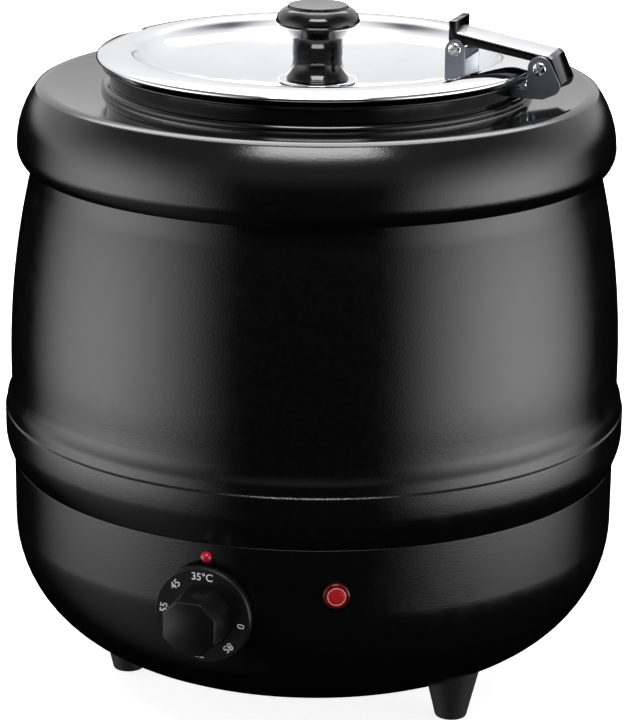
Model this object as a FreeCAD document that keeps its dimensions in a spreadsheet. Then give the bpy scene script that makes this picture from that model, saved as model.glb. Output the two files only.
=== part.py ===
"""Soup kettle for a buffet: a water-bath casing with feet, dial and lamp, a lift-out
inner pot, a lid ring that rests on the pot rim, and a lid on a two-pin hinge link.
Millimetres. +Z is up, the floor is z = 0, the kettle's axis is x = y = 0, the dial
faces -Y and the lid hinge is on the +X side."""
import FreeCAD, Part
import math
import os
import Sketcher

from FreeCAD import Placement, Rotation, Vector

# name: (millimetres, what it measures)
DIMENSIONS = {
    "belt_radius": (170.0, "widest point of the casing, on the belt"),
    "bowl_radius": (165.5, "upright wall of the lower bowl"),
    "bowl_corner": (70.0, "big round between the bowl's wall and its underside"),
    "seam_height": (131.0, "joint between lower bowl and barrel"),
    "base_height": (20.0, "underside of the lower bowl"),
    "neck_radius": (154.2, "barrel under the collar"),
    "neck_height": (295.5, "lower edge of the collar"),
    "flange_height": (318.8, "clamped joint of barrel, well and collar"),
    "collar_radius": (161.0, "widest point of the collar"),
    "crest_height": (336.2, "top of the collar"),
    "seat_height": (333.6, "shelf of the collar that carries the pot"),
    "sheet": (1.5, "sheet metal thickness of the casing"),
    "well_radius": (123.0, "inside of the water well"),
    "well_floor": (75.0, "top face of the water well's floor"),
    "liner": (1.2, "sheet metal thickness of well and pot"),
    "pot_radius": (104.0, "inside of the pot"),
    "pot_depth": (226.0, "inside depth of the pot"),
    "pot_rim": (337.6, "top of the pot rim"),
    "ring_radius": (111.0, "outer wall of the lid ring"),
    "ring_top": (346.6, "outer edge of the lid ring's sloping top"),
    "lid_radius": (118.0, "edge of the lid"),
    "lid_edge": (349.7, "lower edge of the lid"),
    "dish_height": (336.0, "middle of the dished lid"),
    "outer_reach": (126.0, "outer hinge pin from the axis"),
    "outer_rise": (355.1, "outer hinge pin above the floor"),
    "inner_reach": (80.3, "inner hinge pin from the axis"),
    "inner_rise": (362.0, "inner hinge pin above the floor"),
    "pin_radius": (2.5, "hinge pins"),
    "arm_width": (26.0, "hinge arm"),
    "knob_radius": (22.5, "cap of the lid knob"),
    "knob_top": (378.0, "top of the lid knob"),
    "dial_radius": (26.0, "skirt of the control dial"),
    "dial_height": (94.5, "dial centre above the floor"),
    "lamp_height": (107.0, "lamp and cable gland above the floor"),
    "foot_reach": (104.0, "feet from the axis"),
    "foot_height": (31.0, "feet, before they are cut to the bowl"),
}
BRACKET_PLATE = 1.6
FIT = 0.05
DIAL_FACE = 168.0
LAMP_AZIMUTH = -67.0
NOTCH_AZIMUTH = 172.0
FOOT_AZIMUTHS = (-156.0, -24.0, 90.0)
SIXTH_TURNS = tuple(60.0 * k + 30.0 for k in range(6))
FLANGE_SCREWS = 137.0
FLANGE_HOLE = 2.1
BASE_SCREWS = 82.5
BASE_SCREW_TURNS = tuple(90.0 * k + 45.0 for k in range(4))
SCREW_HOLE = 2.1
M4_SHANK = 1.95
THERMOSTAT_SCREWS = (-14.0, 14.0)
SHAFT_RADIUS = 3.0
SHAFT_HOLE = 5.0
BEAD_HEIGHT = 124.0
BEAD_STEM = 1.5
LAMP_BORE = 5.3
GLAND_NECK = 8.0
CORD_BORE = 4.0
GLAND_FLATS = 22.0
RIVET_SIDES = (-7.5, 7.5)
RIVET_HEIGHT = 341.6
RIVET_HOLE = 1.5
ELEMENT_RADIUS = 78.0
ELEMENT_TUBE = 4.0
ELEMENT_LEVEL = 69.6
ELEMENT_ENDS = (-72.0, -108.0)
STUD_RADIUS = 3.0
KNOB_SCREW_HOLE = 2.6

doc = FreeCAD.newDocument("soup_kettle")
sheet = doc.addObject("Spreadsheet::Sheet", "Sheet")
for row, (alias, (amount, note)) in enumerate(DIMENSIONS.items(), start=1):
    sheet.set(f"A{row}", note)
    sheet.set(f"B{row}", str(amount))
    sheet.setAlias(f"B{row}", alias)
doc.recompute()

NODES = []


def size(term):
    """Millimetres of a plain number or of a (dimension name, offset) pair."""
    if isinstance(term, tuple):
        return DIMENSIONS[term[0]][0] + term[1]
    return float(term)


def bind(target, path, term):
    """Tie one property or constraint to the sheet, if the term names a dimension."""
    if isinstance(term, tuple):
        target.setExpression(path, f"Sheet.{term[0]} + ({term[1]:.4f})")


def plane_of(body, role):
    return next(f for f in body.Origin.OriginFeatures if f.Role == role)


def new_body(label):
    body = doc.addObject("PartDesign::Body", label)
    body.Label = label
    return body


def keep(part, label):
    """Register a finished sub-part under the name of its node."""
    part.Label = label
    NODES.append(part)
    return part


def arc_between(start, end, radius):
    """Arc from start to end. A positive radius turns left, a negative one right."""
    chord = end - start
    middle = (start + end) * 0.5
    reach = math.sqrt(max(radius * radius - chord.Length ** 2 / 4, 0.0))
    left = Vector(-chord.y, chord.x, 0).normalize()
    centre = middle + left * (reach if radius > 0 else -reach)
    first, last = (start, end) if radius > 0 else (end, start)
    angles = [math.atan2(p.y - centre.y, p.x - centre.x) for p in (first, last)]
    if angles[1] <= angles[0]:
        angles[1] += 2 * math.pi
    circle = Part.Circle(centre, Vector(0, 0, 1), abs(radius))
    return Part.ArcOfCircle(circle, angles[0], angles[1])


def sketch_on(body, role, name):
    sketch = body.newObject("Sketcher::SketchObject", name)
    sketch.AttachmentSupport = [(plane_of(body, role), "")]
    sketch.MapMode = "FlatFace"
    return sketch


def outline(body, role, name, corners):
    """Closed outline. Each corner is (across, up) or (across, up, arc radius to the next)."""
    sketch = sketch_on(body, role, name)
    points = [Vector(size(c[0]), size(c[1]), 0) for c in corners]
    heads = []
    for k, corner in enumerate(corners):
        start = points[k]
        end = points[(k + 1) % len(points)]
        radius = size(corner[2]) if len(corner) > 2 else None
        if radius is None:
            index = sketch.addGeometry(Part.LineSegment(start, end), False)
            heads.append((index, 1, 2))
        else:
            index = sketch.addGeometry(arc_between(start, end, radius), False)
            heads.append((index, 1, 2) if radius > 0 else (index, 2, 1))
            number = sketch.addConstraint(Sketcher.Constraint("Radius", index, abs(radius)))
            if radius > 0:
                bind(sketch, f"Constraints[{number}]", corner[2])
    for k, corner in enumerate(corners):
        index, head, _ = heads[k]
        before, _, tail = heads[k - 1]
        sketch.addConstraint(Sketcher.Constraint("Coincident", before, tail, index, head))
        for kind, term in (("DistanceX", corner[0]), ("DistanceY", corner[1])):
            number = sketch.addConstraint(Sketcher.Constraint(kind, index, head, size(term)))
            bind(sketch, f"Constraints[{number}]", term)
    return sketch


def turned(label, corners):
    """Body of revolution about Z from an outline of (radius, height) corners."""
    body = new_body(label)
    sketch = outline(body, "XZ_Plane", f"{label}_section", corners)
    turn = body.newObject("PartDesign::Revolution", f"{label}_turn")
    turn.Profile = sketch
    turn.ReferenceAxis = (sketch, ["V_Axis"])
    turn.Angle = 360
    doc.recompute()
    return body


def padded(body, name, corners, width):
    """Add an outline, symmetric about the body's XZ plane."""
    sketch = outline(body, "XZ_Plane", f"{name}_outline", corners)
    pad = body.newObject("PartDesign::Pad", name)
    pad.Profile = sketch
    pad.SideType = "Symmetric"
    pad.Length = size(width)
    bind(pad, "Length", width)
    doc.recompute()
    return pad


def pocketed(body, name, corners, width):
    """Cut an outline, symmetric about the body's XZ plane."""
    sketch = outline(body, "XZ_Plane", f"{name}_outline", corners)
    cut = body.newObject("PartDesign::Pocket", name)
    cut.Profile = sketch
    cut.SideType = "Symmetric"
    cut.Length = size(width)
    bind(cut, "Length", width)
    doc.recompute()
    return cut


def cylinder(name, radius, length, base, axis):
    """Part::Cylinder that starts at base and runs along axis."""
    part = doc.addObject("Part::Cylinder", name)
    part.Radius = size(radius)
    part.Height = size(length)
    bind(part, "Radius", radius)
    bind(part, "Height", length)
    part.Placement = Placement(Vector(*base), Rotation(Vector(0, 0, 1), Vector(*axis)))
    return part


def hexagon(name, across_flats, length, base, axis):
    part = doc.addObject("Part::Prism", name)
    part.Polygon = 6
    part.Circumradius = across_flats / math.sqrt(3)
    part.Height = length
    part.Placement = Placement(Vector(*base), Rotation(Vector(0, 0, 1), Vector(*axis)))
    return part


def block(name, low, high):
    """Part::Box between two corners."""
    part = doc.addObject("Part::Box", name)
    part.Length, part.Width, part.Height = (high[k] - low[k] for k in range(3))
    part.Placement.Base = Vector(*low)
    return part


def fused(name, shapes):
    part = doc.addObject("Part::MultiFuse", name)
    part.Shapes = shapes
    part.Refine = True
    return part


def cut_away(name, base, tools):
    part = doc.addObject("Part::Cut", name)
    part.Base = base
    part.Tool = tools[0] if len(tools) == 1 else fused(f"{name}_tools", tools)
    return part


def group(label, shapes):
    """Identical loose pieces that share a node."""
    part = doc.addObject("Part::Compound", label)
    part.Links = shapes
    return keep(part, label)


def outward(azimuth):
    angle = math.radians(azimuth)
    return (math.cos(angle), math.sin(angle), 0.0)


def at(azimuth, radius, height):
    x, y, _ = outward(azimuth)
    return (radius * x, radius * y, height)


def fastener(name, head, shank, base, axis):
    """Pan-head screw or rivet: head and shank are (radius, length), shank along axis."""
    tip = Vector(*base) - Vector(*axis).normalize() * head[1]
    crown = cylinder(f"{name}_head", head[0], head[1], tuple(tip), axis)
    stem = cylinder(f"{name}_shank", shank[0], head[1] + shank[1], tuple(tip), axis)
    return fused(name, [crown, stem])


def swept(name, points, radius):
    """Round wire or tube through a few points, as one smooth sweep."""
    spline = Part.BSplineCurve()
    spline.interpolate([Vector(*p) for p in points])
    path = Part.Wire([spline.toShape()])
    circle = Part.Circle(Vector(*points[0]), spline.tangent(spline.FirstParameter)[0], radius)
    part = doc.addObject("Part::Feature", name)
    part.Shape = path.makePipeShell([Part.Wire([circle.toShape()])], True, True)
    return part


# ---------------------------------------------------------------- casing shells
def lower_bowl():
    """Black bowl with an inward lip at the bottom and a step that enters the barrel."""
    corner = DIMENSIONS["bowl_corner"][0]
    lean = math.radians(19.5)
    hub = DIMENSIONS["bowl_radius"][0] - corner
    level = 96.3
    low = (hub + corner * math.sin(lean), level - corner * math.cos(lean))
    inner = corner - DIMENSIONS["sheet"][0]
    low_in = (hub + inner * math.sin(lean), level - inner * math.cos(lean))
    shell = turned("lower_bowl_shell", [
        (("bowl_radius", -1.7), ("seam_height", 11.0)),
        (("bowl_radius", -1.7), ("seam_height", 0.0)),
        (("bowl_radius", 0.0), ("seam_height", 0.0)),
        (("bowl_radius", 0.0), level, -corner),
        low,
        (89.0, ("base_height", 0.0)),
        (78.0, ("base_height", 0.0)),
        (78.0, ("base_height", 1.5)),
        (88.6, ("base_height", 1.5)),
        (low_in[0], low_in[1], inner),
        (("bowl_radius", -1.5), level),
        (("bowl_radius", -1.5), ("seam_height", -1.8)),
        (("bowl_radius", -3.2), ("seam_height", 0.2)),
        (("bowl_radius", -3.2), ("seam_height", 11.0)),
    ])
    dial_height = DIMENSIONS["dial_height"][0]
    lamp_height = DIMENSIONS["lamp_height"][0]
    reach = DIMENSIONS["foot_reach"][0]
    holes = [
        cylinder("shaft_hole", SHAFT_HOLE, 30.0, (0, -150, dial_height), (0, -1, 0)),
        cylinder("bead_hole", BEAD_STEM + 0.1, 30.0, (0, -150, BEAD_HEIGHT), (0, -1, 0)),
        cylinder("lamp_hole", LAMP_BORE + 0.1, 30.0, at(LAMP_AZIMUTH, 150, lamp_height),
                 outward(LAMP_AZIMUTH)),
        cylinder("gland_hole", GLAND_NECK + 0.1, 30.0, (0, 150, lamp_height), (0, 1, 0)),
    ]
    for k, side in enumerate(THERMOSTAT_SCREWS):
        holes.append(cylinder(f"thermostat_hole_{k}", SCREW_HOLE, 30.0,
                              (side, -150, dial_height), (0, -1, 0)))
    for k, azimuth in enumerate(FOOT_AZIMUTHS):
        holes.append(cylinder(f"foot_hole_{k}", 2.7, 30.0, at(azimuth, reach, 15), (0, 0, 1)))
    for k, turn in enumerate(BASE_SCREW_TURNS):
        holes.append(cylinder(f"base_hole_{k}", SCREW_HOLE, 10.0, at(turn, BASE_SCREWS, 15),
                              (0, 0, 1)))
    keep(cut_away("lower_bowl", shell, holes), "lower_bowl")


def barrel_shell():
    """Tapering upper casing with a lip at its top. Its foot swells into a belt with a
    nearly upright face between two rounded shoulders."""
    seam = 0.2
    shell = turned("barrel_shell_blank", [
        (("bowl_radius", 0.2), ("seam_height", seam)),
        (("belt_radius", -2.2), 136.8, 30.0),
        (("belt_radius", 0.0), 148.0, 400.0),
        (("belt_radius", -0.34), 164.5, 6.0),
        (("belt_radius", -1.92), 168.31, -6.4),
        (("belt_radius", -3.6), 172.64),
        (("belt_radius", -3.6), 184.0, 449.4),
        (("neck_radius", 0.0), 288.0),
        (("neck_radius", 0.0), ("flange_height", 0.0)),
        (128.0, ("flange_height", 0.0)),
        (128.0, ("flange_height", -1.5)),
        (("neck_radius", -1.5), ("flange_height", -1.5)),
        (("neck_radius", -1.5), 288.0, -447.9),
        (("belt_radius", -5.1), 184.0),
        (("belt_radius", -5.1), 172.64, 7.9),
        (("belt_radius", -3.02), 167.3, -4.5),
        (("belt_radius", -1.84), 164.44, -398.5),
        (("belt_radius", -1.5), 148.0, -28.5),
        (("belt_radius", -3.59), 137.36),
        (("bowl_radius", -1.4), ("seam_height", seam)),
    ])
    keep(drill_flange("barrel_shell", shell, FLANGE_HOLE), "barrel_shell")


def collar():
    """Rounded top collar: outer skirt, crest, dished deck and the shelf for the pot."""
    keep(turned("collar", [
        (("collar_radius", -3.5), ("neck_height", 0.0), 13.4),
        (("collar_radius", 0.0), 304.5),
        (("collar_radius", 0.0), 305.0, 50.0),
        (150.5, ("crest_height", -1.4), 9.0),
        (144.5, ("crest_height", 0.0)),
        (122.0, ("seat_height", 0.0)),
        (107.6, ("seat_height", 0.0)),
        (107.6, ("seat_height", -8.0)),
        (109.6, ("seat_height", -8.0)),
        (109.6, ("seat_height", -2.5)),
        (122.3, ("seat_height", -2.5)),
        (144.0, ("crest_height", -2.6)),
        (148.8, ("crest_height", -3.6), -47.5),
        (("collar_radius", -2.5), 305.0),
        (("collar_radius", -2.5), 303.5, -5.0),
        (("neck_radius", 0.3), ("neck_height", 2.4)),
        (("neck_radius", 0.3), ("neck_height", 0.0)),
    ]), "collar")


def collar_fixings():
    """Six threaded bosses welded under the collar's deck, each cut to its slope, and the
    screws that clamp the barrel and well flanges up against them."""
    flange = DIMENSIONS["flange_height"][0] + DIMENSIONS["liner"][0]
    below = DIMENSIONS["flange_height"][0] - DIMENSIONS["sheet"][0]
    deck = next(part for part in NODES if part.Label == "collar")
    reach_into_deck = DIMENSIONS["seat_height"][0] - flange
    bore_depth = 10.0
    bosses = []
    screws = []
    for k, turn in enumerate(SIXTH_TURNS):
        foot = at(turn, FLANGE_SCREWS, flange)
        post = cylinder(f"boss_{k}", 4.5, reach_into_deck, foot, (0, 0, 1))
        bore = cylinder(f"boss_bore_{k}", FLANGE_HOLE - FIT, bore_depth, foot, (0, 0, 1))
        bosses.append(cut_away(f"boss_bored_{k}", post, [bore, deck]))
        screws.append(fastener(f"collar_screw_{k}", (3.6, 2.2), (M4_SHANK, 11.5),
                               at(turn, FLANGE_SCREWS, below), (0, 0, 1)))
    group("collar_bosses", bosses)
    group("collar_screws", screws)


def drill_flange(name, body, radius):
    """Six screw holes through a flange that lies at the clamped joint."""
    flange = DIMENSIONS["flange_height"][0]
    return cut_away(name, body, [
        cylinder(f"{name}_hole_{k}", radius, 10.0, at(turn, FLANGE_SCREWS, flange - 5), (0, 0, 1))
        for k, turn in enumerate(SIXTH_TURNS)])


def water_well():
    """Stainless water bath that hangs from its top flange, with a stud under its floor."""
    shell = turned("well_shell", [
        (146.0, ("flange_height", 0.0)),
        (146.0, ("flange_height", 1.2)),
        (("well_radius", 0.0), ("flange_height", 1.2)),
        (("well_radius", 0.0), ("well_floor", 12.0), -12.0),
        (("well_radius", -12.0), ("well_floor", 0.0)),
        (0.0, ("well_floor", 0.0)),
        (0.0, ("well_floor", -1.2)),
        (("well_radius", -12.0), ("well_floor", -1.2), 13.2),
        (("well_radius", 1.2), ("well_floor", 12.0)),
        (("well_radius", 1.2), ("flange_height", 0.0)),
    ])
    stud = cylinder("well_stud", STUD_RADIUS, 22.0, (0, 0, 52.0), (0, 0, 1))
    hung = fused("well_with_stud", [shell, stud])
    keep(drill_flange("water_well", hung, FLANGE_HOLE), "water_well")


def base_plate():
    """Round bottom cover with vents and four screw holes."""
    disc = cylinder("base_disc", 86.0, 1.5, (0, 0, 18.5), (0, 0, 1))
    vents = [cylinder(f"vent_{k}", 3.0, 5.0, at(30 * k, 58, 17), (0, 0, 1)) for k in range(12)]
    screws = [cylinder(f"base_bore_{k}", SCREW_HOLE, 5.0, at(turn, BASE_SCREWS, 17), (0, 0, 1))
              for k, turn in enumerate(BASE_SCREW_TURNS)]
    keep(cut_away("base_plate", disc, vents + screws), "base_plate")
    group("base_screws", [
        fastener(f"base_screw_{k}", (3.6, 2.0), (M4_SHANK, 6.5), at(turn, BASE_SCREWS, 18.5),
                 (0, 0, 1))
        for k, turn in enumerate(BASE_SCREW_TURNS)])


def feet():
    """Three tapered feet, each cut to the slope of the bowl, with a screw and a nut."""
    reach = DIMENSIONS["foot_reach"][0]
    screws = []
    nuts = []
    for name, azimuth in zip(("front_left_foot", "front_right_foot", "rear_foot"), FOOT_AZIMUTHS):
        cone = doc.addObject("Part::Cone", f"{name}_cone")
        cone.Radius1 = 8.5
        cone.Radius2 = 16.0
        bind(cone, "Height", ("foot_height", 0.0))
        cone.Placement.Base = Vector(*at(azimuth, reach, 0))
        slope = doc.addObject("Part::Cone", f"{name}_slope")
        slope.Radius1 = 60.0
        slope.Radius2 = 135.0
        slope.Height = 26.3
        slope.Placement.Base = Vector(0, 0, 9.6)
        recess = cylinder(f"{name}_recess", 5.4, 6.0, at(azimuth, reach, 0), (0, 0, 1))
        bore = cylinder(f"{name}_bore", 2.6, 40.0, at(azimuth, reach, 0), (0, 0, 1))
        keep(cut_away(name, cone, [slope, recess, bore]), name)
        screws.append(fastener(f"{name}_screw", (4.6, 3.5), (2.45, 31.0),
                               at(azimuth, reach, 6.0), (0, 0, 1)))
        nut = hexagon(f"{name}_nut", 8.0, 4.0, at(azimuth, reach, 29.2), (0, 0, 1))
        nuts.append(cut_away(f"{name}_nut_bored", nut, [
            cylinder(f"{name}_nut_bore", 2.5, 6.0, at(azimuth, reach, 28.5), (0, 0, 1))]))
    group("foot_screws", screws)
    group("foot_nuts", nuts)


# ---------------------------------------------------------------- heat and control
def heater():
    """Tubular ring element under the well floor, its clamp bar and the nut on the stud."""
    ring = doc.addObject("Part::Torus", "element_ring")
    ring.Radius1 = ELEMENT_RADIUS
    ring.Radius2 = ELEMENT_TUBE
    ring.Angle3 = 360.0 - (ELEMENT_ENDS[0] - ELEMENT_ENDS[1])
    ring.Placement = Placement(Vector(0, 0, ELEMENT_LEVEL),
                               Rotation(Vector(0, 0, 1), ELEMENT_ENDS[0]))
    leg = 16.0
    ends = []
    for k, azimuth in enumerate(ELEMENT_ENDS):
        ends.append(cylinder(f"element_leg_{k}", ELEMENT_TUBE, leg,
                             at(azimuth, ELEMENT_RADIUS, ELEMENT_LEVEL - leg), (0, 0, 1)))
        ends.append(cylinder(f"element_pin_{k}", 1.5, leg - 6,
                             at(azimuth, ELEMENT_RADIUS, ELEMENT_LEVEL - leg - 9), (0, 0, 1)))
        elbow = doc.addObject("Part::Sphere", f"element_elbow_{k}")
        elbow.Radius = ELEMENT_TUBE
        elbow.Placement.Base = Vector(*at(azimuth, ELEMENT_RADIUS, ELEMENT_LEVEL))
        ends.append(elbow)
    keep(fused("heating_element", [ring] + ends), "heating_element")
    bar = block("clamp_bar", (-86, -10, 63.4), (86, 10, 65.5))
    keep(cut_away("heater_clamp", bar, [
        cylinder("clamp_bore", STUD_RADIUS + 0.1, 6.0, (0, 0, 60), (0, 0, 1))]), "heater_clamp")
    nut = hexagon("clamp_nut_blank", 10.0, 5.0, (0, 0, 58.4), (0, 0, 1))
    thread = cylinder("clamp_nut_bore", STUD_RADIUS + FIT, 8.0, (0, 0, 57), (0, 0, 1))
    keep(cut_away("heater_clamp_nut", nut, [thread]), "heater_clamp_nut")


def thermostat():
    """Capillary thermostat behind the dial, its mounting pad, screws, bulb and tube."""
    level = DIMENSIONS["dial_height"][0]
    pad = doc.addObject("Part::Common", "thermostat_pad_blank")
    pad.Base = block("pad_box", (-22, -164.0, level - 8), (22, -158.0, level + 8))
    pad.Tool = cylinder("pad_round", ("bowl_radius", -2.3), 60.0, (0, 0, level - 30), (0, 0, 1))
    drills = [cylinder("pad_bore", SHAFT_HOLE, 30.0, (0, -150, level), (0, -1, 0))]
    taps = [cylinder("body_bore", SHAFT_RADIUS + FIT, 30.0, (0, -145, level), (0, -1, 0))]
    screws = []
    for k, side in enumerate(THERMOSTAT_SCREWS):
        behind = (side, -150, level)
        drills.append(cylinder(f"pad_hole_{k}", SCREW_HOLE, 30.0, behind, (0, -1, 0)))
        taps.append(cylinder(f"body_hole_{k}", M4_SHANK + 0.1, 30.0, behind, (0, -1, 0)))
        screws.append(fastener(f"thermostat_screw_{k}", (3.2, 1.4), (M4_SHANK, 15.0),
                               (side, -166.0, level), (0, 1, 0)))
    keep(cut_away("thermostat_pad", pad, drills), "thermostat_pad")
    body = block("thermostat_box", (-20, -158, level - 17), (20, -136, level + 17))
    keep(cut_away("thermostat_body", body, taps), "thermostat_body")
    group("thermostat_screws", screws)
    bulb = cylinder("bulb_tube", 3.0, 60.0, (-30, -40, 70.4), (1, 0, 0))
    keep(bulb, "sensor_bulb")
    capillary = swept("capillary", [
        (30.0, -40, 70.4), (38, -42, 69), (44, -58, 58), (38, -84, 50),
        (20, -112, 56), (10, -130, 65), (8, -144, 71), (8, -147, 77.0)], 0.9)
    keep(capillary, "capillary_tube")


def thermal_cutout():
    """Button-shaped safety cut-out pressed to the well floor, with two blade terminals."""
    can = cylinder("cutout_can", 8.0, 8.0, (0, 42, 65.7), (0, 0, 1))
    blades = [block(f"cutout_blade_{k}", (side - 0.4, 39, 57), (side + 0.4, 45, 66))
              for k, side in enumerate((-4, 4))]
    keep(fused("thermal_cutout", [can] + blades), "thermal_cutout")


def index_bead():
    """Small red bead above the dial that shows the set mark."""
    ball = doc.addObject("Part::Sphere", "bead_ball")
    ball.Radius = 3.0
    ball.Placement.Base = Vector(0, -166.2, BEAD_HEIGHT)
    inside = cylinder("bead_inside", ("bowl_radius", FIT), 20.0, (0, 0, BEAD_HEIGHT - 10),
                      (0, 0, 1))
    dome = cut_away("bead_dome", ball, [inside])
    stem = cylinder("bead_stem", BEAD_STEM, 7.0, (0, -160.5, BEAD_HEIGHT), (0, -1, 0))
    keep(fused("index_bead", [dome, stem]), "index_bead")


def lamp():
    """Heating lamp: thin bright bezel, flat red lens and the holder behind the wall."""
    level = DIMENSIONS["lamp_height"][0]
    wall = DIMENSIONS["bowl_radius"][0]
    way = outward(LAMP_AZIMUTH)
    bezel = cylinder("bezel_disc", 6.8, 2.2, at(LAMP_AZIMUTH, wall + 0.1, level), way)
    mouth = cylinder("bezel_mouth", LAMP_BORE, 6.0, at(LAMP_AZIMUTH, wall - 2, level), way)
    keep(cut_away("lamp_bezel", bezel, [mouth]), "lamp_bezel")
    lens = cylinder("lens", LAMP_BORE - FIT, 8.0, at(LAMP_AZIMUTH, wall - 5.2, level), way)
    keep(lens, "lamp_lens")
    holder = cylinder("holder", 6.5, 22.0, at(LAMP_AZIMUTH, wall - 27.3, level), way)
    pins = [cylinder(f"lamp_pin_{k}", 0.8, 7.0,
                     at(LAMP_AZIMUTH, wall - 33.3, level + side), way)
            for k, side in enumerate((-2.5, 2.5))]
    keep(fused("lamp_holder", [holder] + pins), "lamp_holder")


def cable_gland():
    """Gland for a mains cord low on the back wall, with its nut inside the casing."""
    level = DIMENSIONS["lamp_height"][0]
    wall = DIMENSIONS["bowl_radius"][0]
    flange = hexagon("gland_flange", GLAND_FLATS, 5.0, (0, wall + 0.1, level), (0, 1, 0))
    cap = cylinder("gland_cap", 9.5, 14.0, (0, wall + 4, level), (0, 1, 0))
    nose = cylinder("gland_nose", 6.5, 10.5, (0, wall + 16, level), (0, 1, 0))
    neck = cylinder("gland_neck", GLAND_NECK, 16.0, (0, wall - 12.0, level), (0, 1, 0))
    bore = cylinder("gland_bore", CORD_BORE, 60.0, (0, wall - 20, level), (0, 1, 0))
    solid = fused("gland_solid", [flange, cap, nose, neck])
    keep(cut_away("cable_gland", solid, [bore]), "cable_gland")
    nut = hexagon("gland_nut_blank", GLAND_FLATS, 5.0, (0, wall - 8.6, level), (0, 1, 0))
    thread = cylinder("gland_nut_bore", GLAND_NECK + 0.1, 10.0, (0, wall - 12, level), (0, 1, 0))
    keep(cut_away("gland_nut", nut, [thread]), "gland_nut")


def terminals():
    """Screw terminal block and the earth stud, both on the base plate."""
    keep(block("terminal_block", (-22, 32, 20.0), (22, 48, 34)), "terminal_block")
    heads = [cylinder(f"terminal_screw_{k}_{n}", 2.0, 1.6, (-16 + 8 * k, 36 + 8 * n, 34), (0, 0, 1))
             for k in range(5) for n in range(2)]
    group("terminal_screws", heads)
    stud = cylinder("earth_pin", 2.5, 18.0, (36, 30, 20), (0, 0, 1))
    nut = hexagon("earth_nut_blank", 8.0, 4.0, (36, 30, 20), (0, 0, 1))
    keep(fused("earth_stud", [stud, nut]), "earth_stud")


def wiring():
    """Insulated leads between the block, thermostat, element, cut-out and lamp."""
    routes = [
        [(-16, 30.6, 27), (-24, 16, 26), (-30, -30, 28), (-27, -62, 34), (-24.1, -74.0, 43.2)],
        [(-8, 30.6, 27), (-10, 10, 24), (-14, -50, 26), (-18, -112, 44), (-14, -144, 66),
         (-14, -147, 76.6)],
        [(0, 30.6, 27), (0, 24, 29), (0, 26, 40), (-2, 37, 49), (-4, 42, 55.6)],
        [(16, 49.4, 27), (30, 54, 29), (60, 10, 34), (66, -68, 46), (57, -113, 66),
         (53.4, -117.6, 84), (51.0, -119.6, 102.8)],
    ]
    group("internal_wires", [swept(f"wire_{k}", route, 1.1) for k, route in enumerate(routes)])


# ---------------------------------------------------------------- control dial
def control_dial():
    """Moulded dial: flat skirt for the scale and a chunky faceted grip."""
    level = ("dial_height", 0.0)
    skirt = cylinder("dial_skirt", ("dial_radius", 0.0), 4.5,
                     (0, -DIAL_FACE, size(level)), (0, -1, 0))
    body = new_body("dial_grip")
    half = 15.0
    facet = 8.0
    sketch = outline(body, "XZ_Plane", "grip_outline", [
        (half, ("dial_height", facet - half)),
        (half, ("dial_height", half - facet)),
        (half - facet, ("dial_height", half)),
        (facet - half, ("dial_height", half)),
        (-half, ("dial_height", half - facet)),
        (-half, ("dial_height", facet - half)),
        (facet - half, ("dial_height", -half)),
        (half - facet, ("dial_height", -half)),
    ])
    sketch.AttachmentOffset = Placement(Vector(0, 0, DIAL_FACE + 4.0), Rotation())
    grip = body.newObject("PartDesign::Pad", "grip_pad")
    grip.Profile = sketch
    grip.Length = 20.0
    grip.TaperAngle = -3.0
    doc.recompute()
    bore = cylinder("dial_bore", SHAFT_RADIUS, 14.0, (0, -DIAL_FACE, size(level)), (0, -1, 0))
    keep(cut_away("control_dial", fused("dial_solid", [skirt, body]), [bore]), "control_dial")


def thermostat_shaft():
    """Steel shaft of the thermostat, with a flat, pressed into the dial."""
    level = DIMENSIONS["dial_height"][0]
    rod = cylinder("shaft_rod", SHAFT_RADIUS, 34.0, (0, -147.9, level), (0, -1, 0))
    flat = block("shaft_flat", (-4, -182.0, level + 2.2), (4, -170.0, level + 4))
    keep(cut_away("thermostat_shaft", rod, [flat]), "thermostat_shaft")


# ---------------------------------------------------------------- pot and lid ring
def inner_pot():
    """Lift-out stainless pot with a rolled rim that rests on the collar's shelf."""
    rim = ("pot_rim", 0.0)
    floor_corner = 15.0
    floor = DIMENSIONS["pot_rim"][0] - DIMENSIONS["pot_depth"][0]
    keep(turned("inner_pot", [
        (0.0, floor),
        (0.0, floor - 1.2),
        (("pot_radius", -floor_corner), floor - 1.2, floor_corner + 1.2),
        (("pot_radius", 1.2), floor + floor_corner),
        (("pot_radius", 1.2), ("pot_rim", -3.6), -2.4),
        (("pot_radius", 3.6), ("pot_rim", -1.2)),
        (112.6, ("pot_rim", -1.2)),
        (113.4, ("seat_height", 0.0)),
        (115.4, ("seat_height", 0.0), 3.4),
        (113.6, rim),
        (("pot_radius", 2.5), rim, 2.5),
        (("pot_radius", 0.0), ("pot_rim", -2.5)),
        (("pot_radius", 0.0), floor + floor_corner, -floor_corner),
        (("pot_radius", -floor_corner), floor),
    ]), "inner_pot")


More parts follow.
